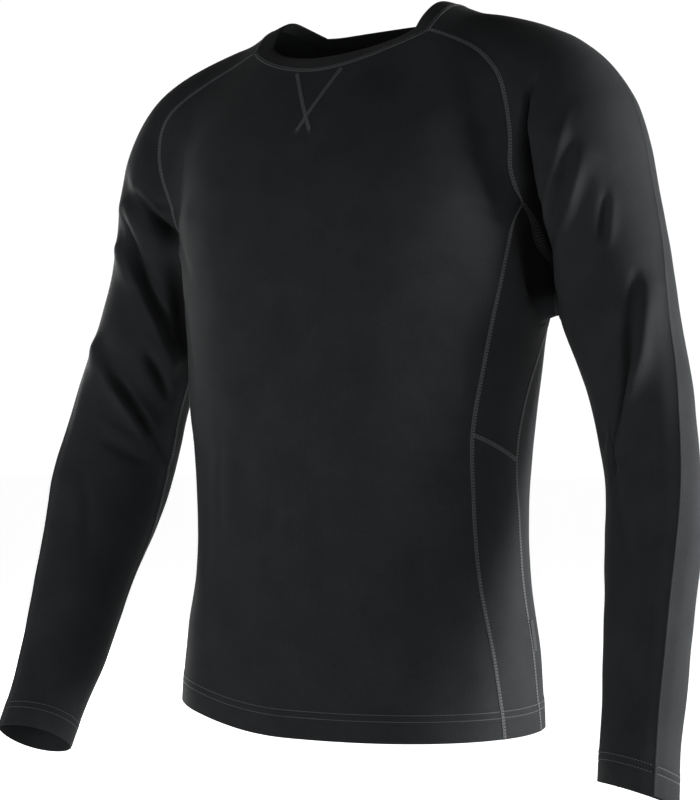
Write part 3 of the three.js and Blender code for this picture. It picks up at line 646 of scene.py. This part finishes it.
smooth = {node: smoothGrid(node, cuts[node]) for node in ("front", "back")}
for stem in ("side_lower", "side_upper", "sleeve_front", "sleeve_back"):
    for side in ("left", "right"):
        smooth[f"{stem}_{side}"] = smoothGrid(f"{stem}_{side}", cuts[stem])
smoothTree = surfaceTree(laid[0] for laid in smooth.values())
fineFolds = plainFolds + tuple(
    {**fold, "side": 1, "line": [seenAt(pixel, smoothTree) for pixel in fold["photo"]]} for fold in photoFolds)

# Each panel's rows and columns of points, the ways out of the cloth and how much shade is painted at each
# place
sheets = {node: foldGrid(node, *laid, fineFolds) for node, laid in smooth.items()}
sheetPoints = np.concatenate([laid[0].reshape(-1, 3) for laid in sheets.values()])
sheetCreaseShades = np.concatenate([laid[2].reshape(-1) for laid in sheets.values()])
sheetTree = KDTree(len(sheetPoints))
for index, point in enumerate(sheetPoints):
    sheetTree.insert(point, index)
sheetTree.balance()
print("cloth laid on", len(sheets), "walls")


def creaseShadeNear(points):
    found = [sheetTree.find(point)[1] for point in points.reshape(-1, 3)]
    return sheetCreaseShades[found].reshape(points.shape[:-1])


# Cloth panels

def setCreaseShade(mesh, hollow):
    mesh.attributes.new("hollow", "FLOAT", "POINT").data.foreach_set("value", hollow.reshape(-1))


def newGrid(name, grid, normals, hollow=None):
    # a grid primitive whose points are laid on the given rows and columns, with a map in metres
    rows, columns = grid.shape[:2]
    bpy.ops.object.select_all(action="DESELECT")
    bpy.ops.mesh.primitive_grid_add(x_subdivisions=columns - 1, y_subdivisions=rows - 1, calc_uvs=True)
    piece = bpy.context.object
    piece.name = piece.data.name = name
    mesh = piece.data
    mesh.vertices.foreach_set("co", grid.reshape(-1))
    # painted crease shade, from the nearest cloth unless given
    setCreaseShade(mesh, creaseShadeNear(grid) if hollow is None else hollow)
    across = arcLengths(grid, 1)
    across -= across[:, columns // 2:columns // 2 + 1]
    along = arcLengths(grid, 0)
    laid = np.stack([across, along], axis=2).reshape(-1, 2)
    corner = np.empty(len(mesh.loops), dtype=np.int32)
    mesh.loops.foreach_get("vertex_index", corner)
    mesh.uv_layers[0].name = "cloth"
    mesh.uv_layers[0].data.foreach_set("uv", laid[corner].reshape(-1))
    mesh.update()
    checked = mesh.polygons[:200]  # enough to tell which way the grid faces
    facing = np.array([face.normal for face in checked])
    first = [face.vertices[0] for face in checked]
    if (facing * normals.reshape(-1, 3)[first]).sum() < 0:
        mesh.flip_normals()
    return piece


def applyAll(piece):
    bpy.context.view_layer.objects.active = piece
    for modifier in list(piece.modifiers):
        bpy.ops.object.modifier_apply(modifier=modifier.name)


def selectOnly(piece):
    bpy.ops.object.select_all(action="DESELECT")
    piece.select_set(True)
    bpy.context.view_layer.objects.active = piece


def smoothShade(piece, angle=60):
    selectOnly(piece)
    bpy.ops.object.shade_smooth_by_angle(angle=math.radians(angle))


# How cut edges are rounded, in mm and degrees
clothEdge = {"width": 0.35, "segments": 2, "angle": 55}


def roundEdges(piece, look):
    edge = piece.modifiers.new("edge", "BEVEL")
    edge.width = look["width"] * mm
    edge.segments = look["segments"]
    edge.limit_method = "ANGLE"
    edge.angle_limit = math.radians(look["angle"])


def giveWall(piece, thickness):
    wall = piece.modifiers.new("wall", "SOLIDIFY")
    wall.thickness = thickness
    wall.offset = -1
    roundEdges(piece, clothEdge)
    applyAll(piece)


def finishPiece(piece, material, nodes=()):
    piece.data.materials.clear()
    piece.data.materials.append(material)
    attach(piece, "root")
    if nodes:
        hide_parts(*nodes)


def sheetArea(grid):
    a = np.linalg.norm(np.cross(grid[1:, 1:] - grid[:-1, :-1], grid[1:, :-1] - grid[:-1, 1:]), axis=2)
    return a.sum() / 2


def stemOf(node):
    return node.replace("_left", "").replace("_right", "")


def pressStitchLines(node, grid, normals, hollow):
    # closer rows near the edge, pressed in along each row of stitches
    work = edgeWork(node)
    if work is None:
        return grid, normals, hollow
    above = heightAboveEdge(node, grid)
    middle = above[:, above.shape[1] // 2] / mm
    near = [0, turning["lip"]]
    near += [line + step for line in work["rows"] for step in turning["stitchRows"]]
    near += [work["fold"] + step for step in turning["foldRows"]]
    clearBelow, clearAbove = turning["clear"]
    low = np.arange(turning["spacing"], work["rows"][0] - clearBelow, turning["spacing"])
    order = slice(None, None, -1) if node.startswith("sleeve") else slice(None)
    kept = np.sort(np.concatenate([low, near, middle[middle > near[-1] + clearAbove]]))[order]
    shares = kept / middle.max()
    dip = sum(np.exp(-((kept - line) / turning["press"]) ** 2) for line in work["rows"]) * work["dip"] * mm
    scale = middle[order] / middle.max()
    together = np.concatenate([grid, normals, hollow[..., None]], axis=2)[order]
    laid = np.empty((len(kept),) + together.shape[1:])
    for column in range(together.shape[1]):
        for part in range(together.shape[2]):
            laid[:, column, part] = np.interp(shares, scale, together[:, column, part])
    ways = unit(laid[..., 3:6])
    return laid[..., :3] - ways * dip[:, None, None], ways, laid[..., 6]


clothPieces = {}
for node, (grid, normals, hollow) in sheets.items():
    piece = newGrid(f"{node}_cloth", *pressStitchLines(node, grid, normals, hollow))
    giveWall(piece, cloth["thickness"] * mm)
    smoothShade(piece)
    finishPiece(piece, jerseyKnit, [node])
    stem = stemOf(node)
    clothPieces[node] = piece
    print(node, "area", round(sheetArea(grid), 4), "width", np.round(arcLengths(grid, 1)[:, -1].max(), 3),
          "length", np.round(arcLengths(grid, 0)[-1].max(), 3))


# Seam strips

seam = {
    "halfWidth": 1.9,  # mm
    "ribbon": 0.4,  # how far the sewn strip stands up, in mm
    "wall": 0.3,  # its cloth, in mm
    "pitch": 3.0,  # mm, drawn a little longer than real so that it shows
    "plainWidth": 1.2,
    "plainRise": 0.12,
    "edgeThread": 0.33,  # half the thread's thickness, in mm
    "crossThread": 0.3,
    "threadLift": 0.1,  # over the ribbon, in mm
    "inset": 0.25,  # the edge threads lie this share in from the ribbon's shoulder
    "flatness": 0.8,  # a thread's height against its width
}

# The stitches in each pitch of a seam, with the thread that they are sewn in
# Each runs from one edge of the ribbon, 0 or 1, to the same or the other, between shares of the pitch
ladder = (
    {"from": 0, "to": 0, "start": 0, "end": 0.82, "thread": "edgeThread"},
    {"from": 1, "to": 1, "start": 0, "end": 0.82, "thread": "edgeThread"},
    {"from": 0, "to": 1, "start": 0, "end": 0.3, "thread": "crossThread"},
    {"from": 1, "to": 0, "start": 0.35, "end": 0.8, "thread": "crossThread"},
)

# The ribbon's section: shares of its half width across and of its rise
acrossShares = np.array((-1, -0.86, -0.4, 0, 0.4, 0.86, 1))
acrossHeights = np.array((-0.6, 0.7, 1, 0.92, 1, 0.7, -0.6))
shoulders = ((1, 2), (5, 4))  # the columns between which each edge thread lies
middleColumn = len(acrossShares) // 2

# Where seams meet, in places along a panel's edge
seamSteps = 6  # places in each of the solid's cells
meets = {
    "slant": 10 * seamSteps,  # top of the lower side panel
    "gusset": 9 * seamSteps,  # top of the upper one
    "armpit": 10 * seamSteps,  # these three down from the neck
    "underarm": 14 * seamSteps,
    "cuff": 34 * seamSteps,
}


def border(node, edge, first=0, last=None):
    # a panel's edge, the points one cell in from it and the ways out of the cloth
    # first and last are places, with seamSteps of them in each of the solid's cells
    grid, normals = sheets[node][:2]
    steps = cuts[stemOf(node)]["along"]
    if edge in ("top", "bottom"):
        grid, normals = grid.transpose(1, 0, 2), normals.transpose(1, 0, 2)
        steps = cuts[stemOf(node)]["across"]
    if edge in ("end", "top"):
        grid, normals = grid[:, ::-1], normals[:, ::-1]
    last = (len(grid) - 1) // steps * seamSteps if last is None else last
    places = np.linspace(first, last, abs(last - first) + 1) / seamSteps * steps
    runs = (grid[:, 0], grid[:, 1], normals[:, 0])
    return np.stack([sampleRun(run, np.arange(len(run)), places) for run in runs])


def joinBorders(side, *parts):
    return np.concatenate([border(part[0].replace("*", side), *part[1:]) for part in parts], axis=1)


def crossSections(one, other, halfWidth):
    # points across a seam between two borders, with the way out at each
    middle = (one[0] + other[0]) / 2
    along = unit(np.gradient(middle, axis=0))
    out = unit(one[2] + other[2])
    points, ways = [], []
    for share in acrossShares:
        edge, inner, way = one if share < 0 else other
        into = inner - edge
        into = unit(into - (into * along).sum(axis=1, keepdims=True) * along)
        if share == 0:
            points.append(middle)
            ways.append(out)
        else:
            points.append(edge + into * abs(share) * halfWidth * mm)
            ways.append(unit(way))
    return np.stack(points, axis=1), np.stack(ways, axis=1)


def sampleRun(run, lengths, places):
    return np.stack([np.interp(places, lengths, run[:, axis]) for axis in range(3)], axis=1)


def modelStitch():
    # one short stitch, along Z from 0 to 1 and with a radius of 1
    bpy.ops.object.select_all(action="DESELECT")
    bpy.ops.mesh.primitive_uv_sphere_add(segments=4, ring_count=3, radius=1, location=(0, 0, 0))
    bpy.ops.object.mode_set(mode="EDIT")
    bpy.ops.mesh.select_all(action="SELECT")
    bpy.ops.transform.resize(value=(1, 1, 0.5))
    bpy.ops.transform.translate(value=(0, 0, 0.5))
    bpy.ops.object.mode_set(mode="OBJECT")
    ball = bpy.context.object
    points = np.array([vert.co for vert in ball.data.vertices])
    faces = [list(face.vertices) for face in ball.data.polygons]
    mesh = ball.data
    bpy.data.objects.remove(ball)
    bpy.data.meshes.remove(mesh)
    return points, faces


stitchPoints, stitchFaces = modelStitch()


def layStitches(name, starts, ends, ways, radius):
    # one joined mesh with a stitch from each start to its end, lying on the cloth
    runs = ends - starts
    axes = unit(runs)
    sides = unit(np.cross(axes, ways))
    ups = np.cross(sides, axes)
    thick = radius[:, None, None] * mm
    points = (starts[:, None] + stitchPoints[:, 2][None, :, None] * runs[:, None]
              + stitchPoints[:, 0][None, :, None] * thick * sides[:, None]
              + stitchPoints[:, 1][None, :, None] * thick * ups[:, None] * seam["flatness"])
    count = len(stitchPoints)
    faces = [[index + step * count for index in face] for step in range(len(starts)) for face in stitchFaces]
    mesh = bpy.data.meshes.new(name)
    mesh.from_pydata(points.reshape(-1, 3).tolist(), [], faces)
    # painted crease shade, from the cloth under each stitch
    setCreaseShade(mesh, np.repeat(creaseShadeNear(starts), count))
    turned = bmesh.new()
    turned.from_mesh(mesh)
    bmesh.ops.recalc_face_normals(turned, faces=turned.faces)
    turned.to_mesh(mesh)
    turned.free()
    piece = bpy.data.objects.new(name, mesh)
    scene.collection.objects.link(piece)
    smoothShade(piece, 80)
    finishPiece(piece, overlockThread)
    return piece


def layRibbon(name, points, ways, rise, material):
    height = acrossHeights * rise * mm
    ribbon = newGrid(name, points + ways * height[None, :, None], ways)
    giveWall(ribbon, seam["wall"] * mm)
    smoothShade(ribbon)
    finishPiece(ribbon, material)


def strip(name, points, ways):
    # the sewn-down ribbon of cloth over a seam, and the ladder of thread on it
    layRibbon(f"{name}_strip", points, ways, seam["ribbon"], seamCloth)
    lifted = points + ways * (seam["ribbon"] + seam["threadLift"]) * mm
    lengths = arcLengths(lifted, 0)[:, middleColumn]
    pitch = seam["pitch"] * mm
    places = np.arange(pitch / 2, lengths[-1] - pitch, pitch)
    edges = [lifted[:, outer] * (1 - seam["inset"]) + lifted[:, inner] * seam["inset"]
             for outer, inner in shoulders]
    starts = [sampleRun(edges[row["from"]], lengths, places + row["start"] * pitch) for row in ladder]
    ends = [sampleRun(edges[row["to"]], lengths, places + row["end"] * pitch) for row in ladder]
    radius = [np.full(len(places), seam[row["thread"]]) for row in ladder]
    normals = np.tile(sampleRun(ways[:, middleColumn], lengths, places), (len(ladder), 1))
    layStitches(f"{name}_thread", np.concatenate(starts), np.concatenate(ends), normals,
                np.concatenate(radius))


for side, frontEdge in (("left", "end"), ("right", "start")):
    runs = {
        "front_seam": (
            joinBorders(side, ("front", frontEdge)),
            joinBorders(side, ("side_lower_*", "start", 0, meets["slant"] - 1),
                        ("side_upper_*", "start", 0, meets["gusset"] - 1),
                        ("sleeve_front_*", "end", meets["armpit"], 0))),
        "back_seam": (
            joinBorders(side, ("back", frontEdge)),
            joinBorders(side, ("side_lower_*", "end", 0, meets["slant"] - 1),
                        ("side_upper_*", "end", 0, meets["gusset"] - 1),
                        ("sleeve_back_*", "end", meets["armpit"], 0))),
        "slant_seam": (
            joinBorders(side, ("side_lower_*", "top")), joinBorders(side, ("side_upper_*", "bottom"))),
        "armhole_seam": (
            joinBorders(side, ("side_upper_*", "top")),
            joinBorders(side, ("sleeve_front_*", "end", meets["armpit"], meets["underarm"] - 1),
                        ("sleeve_back_*", "end", meets["underarm"], meets["armpit"]))),
        "arm_seam": (
            joinBorders(side, ("sleeve_front_*", "start")), joinBorders(side, ("sleeve_back_*", "start"))),
        "underarm_seam": (
            joinBorders(side, ("sleeve_front_*", "end", meets["underarm"], meets["cuff"])),
            joinBorders(side, ("sleeve_back_*", "end", meets["underarm"], meets["cuff"]))),
    }
    for name, (one, other) in runs.items():
        if name == "arm_seam":  # closed from inside, with no thread showing
            points, ways = crossSections(one, other, seam["plainWidth"])
            layRibbon(f"{name}_{side}_strip", points, ways, seam["plainRise"], jerseyKnit)
        else:
            strip(f"{name}_{side}", *crossSections(one, other, seam["halfWidth"]))
print("seam strips sewn")


# Neck band

band = {
    "height": 18,  # mm
    "thickness": 2.4,
    "lean": 0.6,  # leans in towards the neck, more at the sides
    "sideLean": 0.93,
    "leanOver": 90,  # mm from the middle to the sides
    "neckAxis": -8,  # the neck's middle from front to back, in mm
    "gap": 0.34,
    "waySmoothing": 12,  # times that its lean is evened out round the ring
    "edgeSmoothing": 4,
}
# The band's section: shares of its thickness inwards and of its height upwards
bandSection = ((0, 0), (-0.06, 0.1), (-0.14, 0.3), (-0.15, 0.55), (-0.08, 0.78), (0.08, 0.93), (0.34, 1.0),
               (0.62, 1.0), (0.88, 0.94), (1.02, 0.8), (1.08, 0.5), (1.04, 0.2), (1, 0), (0.5, -0.01), (0, 0))


def neckRing():
    # the body's edge round the neck, closed by its first point again
    runs = [
        border("front", "top"), border("sleeve_front_left", "bottom")[:, ::-1],
        border("sleeve_back_left", "bottom"), border("back", "top")[:, ::-1],
        border("sleeve_back_right", "bottom")[:, ::-1], border("sleeve_front_right", "bottom")]
    parts = []
    for run, before in zip(runs, runs[-1:] + runs[:-1]):
        run = run.copy()
        run[:, 0] = (run[:, 0] + before[:, -1]) / 2
        parts.append(run[:, :-1])
    ring = np.concatenate(parts, axis=1)
    return np.concatenate([ring, ring[:, :1]], axis=1)


def smoothRing(values, times):
    values = values[:-1]
    for _ in range(times):
        values = (np.roll(values, 1, axis=0) + 2 * values + np.roll(values, -1, axis=0)) / 4
    return np.concatenate([values, values[:1]])


def bandWays(edge, ways):
    # how the band rises from the neck edge and how it faces, at each point of the ring
    ahead, behind = np.roll(edge[:-1], -1, axis=0), np.roll(edge[:-1], 1, axis=0)
    along = unit(ahead - behind)
    along = np.concatenate([along, along[:1]])
    ways = unit(ways - (ways * along).sum(axis=1, keepdims=True) * along)
    inward = np.stack([-edge[:, 0], band["neckAxis"] * mm - edge[:, 1], np.zeros(len(edge))], axis=1)
    share = smoothStep(np.clip(abs(edge[:, 0]) / (band["leanOver"] * mm), 0, 1))
    lean = (band["lean"] + (band["sideLean"] - band["lean"]) * share)[:, None]
    rise = np.sqrt(1 - lean ** 2) * np.array((0, 0, 1)) + lean * unit(inward)
    rise = unit(rise - (rise * along).sum(axis=1, keepdims=True) * along)
    return smoothRing(rise, band["waySmoothing"]), smoothRing(ways, band["waySmoothing"])


neck = neckRing()
edge = smoothRing(neck[0], band["edgeSmoothing"])
rise, facing = bandWays(edge, neck[2])
section = np.array(bandSection)
bandGrid = (edge[:, None]
            + rise[:, None] * (band["gap"] + section[:, 1] * band["height"])[None, :, None] * mm
            - facing[:, None] * (section[:, 0] * band["thickness"])[None, :, None] * mm)
bandCloth = newGrid("neck_band", bandGrid, np.repeat(facing[:, None], len(section), axis=1))
bpy.ops.object.mode_set(mode="EDIT")
bpy.ops.mesh.select_all(action="SELECT")
bpy.ops.mesh.remove_doubles(threshold=0.01 * mm)
bpy.ops.mesh.normals_make_consistent(inside=False)
bpy.ops.object.mode_set(mode="OBJECT")
smoothShade(bandCloth, 80)
finishPiece(bandCloth, ribKnit, ["collar_band"])

# The strip over the neck seam, half on the body and half on the band
bandBorder = np.stack([bandGrid[:, 0], bandGrid[:, 2], facing])
body = np.stack([edge, neck[1], facing])
points, ways = crossSections(body, bandBorder, seam["halfWidth"])
strip("neck_seam", points, ways)
print("neck band set on")


# Crossed strips at the front of the neck

crossed = {
    "halfWidth": 2.2,  # mm
    "steps": 26,
    "tops": (-27, 24.5),  # where each starts along the neck seam, in mm
    "feet": ((6.5, -129.5), (-11, -128.5)),  # x and z in mm
    "below": 3.2,  # they start this far below the seam, in mm
    "crossing": 0.7,  # share of their length at which they cross
    "over": 5,  # the second rises over the first for this far each way, in mm
    "ahead": -0.4,  # a ray to the front starts here, in m
}
frontPiece = clothPieces["front"]
frontTree = BVHTree.FromPolygons(
    [vert.co[:] for vert in frontPiece.data.vertices], [face.vertices[:] for face in frontPiece.data.polygons])


def onFront(x, z):
    place, way = frontTree.ray_cast(Vector((x, crossed["ahead"], z)), Vector((0, 1, 0)))[:2]
    return np.array(place), np.array(way)


def crossedStrip(name, top, foot, lift):
    count = crossed["steps"]
    line = top + (foot - top) * np.linspace(0, 1, count)[:, None]
    sideways = np.array(((foot - top)[1], -(foot - top)[0]))
    sideways /= np.linalg.norm(sideways)
    points = np.empty((count, len(acrossShares), 3))
    ways = np.empty(points.shape)
    for row in range(count):
        for column, share in enumerate(acrossShares):
            x, z = line[row] + sideways * share * crossed["halfWidth"] * mm
            points[row, column], ways[row, column] = onFront(x, z)
    away = np.linalg.norm(line - line[int(count * crossed["crossing"])], axis=1)
    rise = lift * np.exp(-(away / (crossed["over"] * mm)) ** 2)
    strip(name, points + ways * rise[:, None, None], ways)


neckRow = sheets["front"][0][-1]
for index, (topX, foot) in enumerate(zip(crossed["tops"], crossed["feet"])):
    topZ = np.interp(topX * mm, neckRow[:, 0], neckRow[:, 2]) - crossed["below"] * mm
    crossedStrip(f"crossed_{index + 1}", np.array((topX * mm, topZ)), np.array(foot) * mm,
                 index * seam["ribbon"] * mm)
print("crossed strips sewn")


# Stitches of the hem and cuffs

def stitchRow(node, line, work):
    grid, normals = sheets[node][:2]
    above = heightAboveEdge(node, grid)
    if node.startswith("sleeve"):
        grid, normals, above = grid[::-1], normals[::-1], above[::-1]
    run = np.stack([[np.interp(line * mm, above[:, column], values[:, column, axis]) for axis in range(3)]
                    for values in (grid, normals) for column in range(grid.shape[1])])
    points, ways = run[:grid.shape[1]], run[grid.shape[1]:]
    points = points + ways * (work["thread"] * turning["up"] - turning["down"]) * mm
    lengths = np.concatenate([[0], np.cumsum(np.linalg.norm(np.diff(points, axis=0), axis=1))])
    pitch = work["pitch"] * mm
    places = np.arange(pitch, lengths[-1] - pitch, pitch)
    return (sampleRun(points, lengths, places),
            sampleRun(points, lengths, places + turning["stitch"] * pitch),
            sampleRun(ways, lengths, places))


for node in sheets:
    work = edgeWork(node)
    if work:
        starts, ends, ways = (np.concatenate(part) for part in zip(
            *(stitchRow(node, line, work) for line in work["rows"])))
        layStitches(f"{node}_edge_thread", starts, ends, ways, np.full(len(starts), work["thread"]))
print("hem and cuffs stitched")


# Side label

labelLook = {"cuts": 2, "width": 0.25, "segments": 3, "angle": 50, "shade": 40}  # mm and degrees
label = bpy.data.objects.new("side_label_tape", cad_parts["side_label"].data.copy())
label.data.name = label.name
scene.collection.objects.link(label)
selectOnly(label)
bpy.ops.object.mode_set(mode="EDIT")
bpy.ops.mesh.select_all(action="SELECT")
bpy.ops.mesh.remove_doubles(threshold=cloth["merge"] * mm)
bpy.ops.mesh.subdivide(number_cuts=labelLook["cuts"], smoothness=0)
bpy.ops.object.mode_set(mode="OBJECT")
roundEdges(label, labelLook)
applyAll(label)
smoothShade(label, labelLook["shade"])
finishPiece(label, labelTape, ["side_label"])
print("label sewn in")


# Camera, floor and light

bpy.ops.object.select_all(action="DESELECT")
bpy.ops.object.camera_add(location=Vector(view["place"]) * mm,
                          rotation=(math.radians(90), 0, math.radians(view["azimuth"])))
camera = bpy.context.object
camera.data.lens = view["lens"]
camera.data.shift_y = view["shift"]
camera.data.clip_end = view["far"]
scene.camera = camera

studio = {
    "floor": -0.86,  # m
    "floorSize": 60,
    "floorColour": "#f4f4f4",
    "floorRoughness": 0.9,
    "floorGlow": 0.9,
    "glowFrom": 0.1,  # m behind the garment
    "glowTo": 0.45,
    "behind": (-0.515, 0.857, 0),  # the way that the camera looks
    "white": 1.02,
    "whiteFrom": 0.74,  # cosines of the angle from the middle of the white wall
    "whiteTo": 0.92,
    "walls": 0.2,
    "ceiling": 0.0,
    "wallTop": 0.6,  # sine of the height at which the ceiling starts
    "aim": (0, 0, -0.4),  # where the lamps point, in m
}
bpy.ops.object.select_all(action="DESELECT")
bpy.ops.mesh.primitive_plane_add(size=studio["floorSize"], location=(0, 0, studio["floor"]))
floor = bpy.context.object
floor.name = "floor"
floorPaint = newMaterial("matt studio paint")
# It glows behind the garment and is plain in front of it
place = addNode(floorPaint, "ShaderNodeTexCoord")
back = addNode(floorPaint, "ShaderNodeVectorMath", {"operation": "DOT_PRODUCT", 1: studio["behind"]},
               {0: (place, "Object")})
glow = addNode(floorPaint, "ShaderNodeMapRange", {
    "From Min": studio["glowFrom"], "From Max": studio["glowTo"],
    "To Min": 0, "To Max": studio["floorGlow"]}, {"Value": (back, "Value")})
paint = addNode(floorPaint, "ShaderNodeBsdfPrincipled", {
    "Base Color": toLinear(studio["floorColour"]), "Roughness": studio["floorRoughness"],
    "Emission Color": (1, 1, 1, 1)},
    {"Emission Strength": (glow, "Result")})
addNode(floorPaint, "ShaderNodeOutputMaterial", {}, {"Surface": (paint, "BSDF")})
floor.data.materials.append(floorPaint)

# A white wall behind the garment as the camera sees it, and grey walls all round under a dark ceiling
world = bpy.data.worlds.new("studio")
scene.world = world
world.use_nodes = True
world.node_tree.nodes.clear()
around = addNode(world, "ShaderNodeTexCoord")
height = addNode(world, "ShaderNodeSeparateXYZ", {}, {0: (around, "Generated")})
walls = addNode(world, "ShaderNodeMapRange", {
    "interpolation_type": "SMOOTHSTEP", "From Min": 0.0, "From Max": studio["wallTop"],
    "To Min": studio["walls"], "To Max": studio["ceiling"]}, {"Value": (height, "Z")})
behind = addNode(world, "ShaderNodeVectorMath", {"operation": "DOT_PRODUCT", 1: studio["behind"]},
                 {0: (around, "Generated")})
bright = addNode(world, "ShaderNodeMapRange", {
    "interpolation_type": "SMOOTHSTEP", "From Min": studio["whiteFrom"], "From Max": studio["whiteTo"],
    "To Min": 0, "To Max": studio["white"]}, {"Value": (behind, "Value")})
strength = addNode(world, "ShaderNodeMath", {"operation": "MAXIMUM"},
                   {0: (walls, "Result"), 1: (bright, "Result")})
sky = addNode(world, "ShaderNodeBackground", {"Color": (1, 1, 1, 1)}, {"Strength": (strength, "Value")})
addNode(world, "ShaderNodeOutputWorld", {}, {"Surface": (sky, "Background")})

softboxes = (
    {"name": "rear right", "place": (2.5, 0.78, -0.4), "size": 1.0, "power": 122},
    {"name": "rear left", "place": (-2.4, 0.9, -0.3), "size": 1.2, "power": 40},
    {"name": "front left", "place": (-1.0, -1.5, -0.6), "size": 0.5, "power": 8},
    {"name": "front right", "place": (1.1, -1.5, -0.6), "size": 0.5, "power": 5},
)
for box in softboxes:
    place = Vector(box["place"])
    aim = (Vector(studio["aim"]) - place).to_track_quat("-Z", "Y").to_euler()
    bpy.ops.object.light_add(type="AREA", location=place, rotation=aim)
    lamp = bpy.context.object
    lamp.name = box["name"]
    lamp.data.shape = "SQUARE"
    lamp.data.size = box["size"]
    lamp.data.energy = box["power"]
print("camera and studio made")
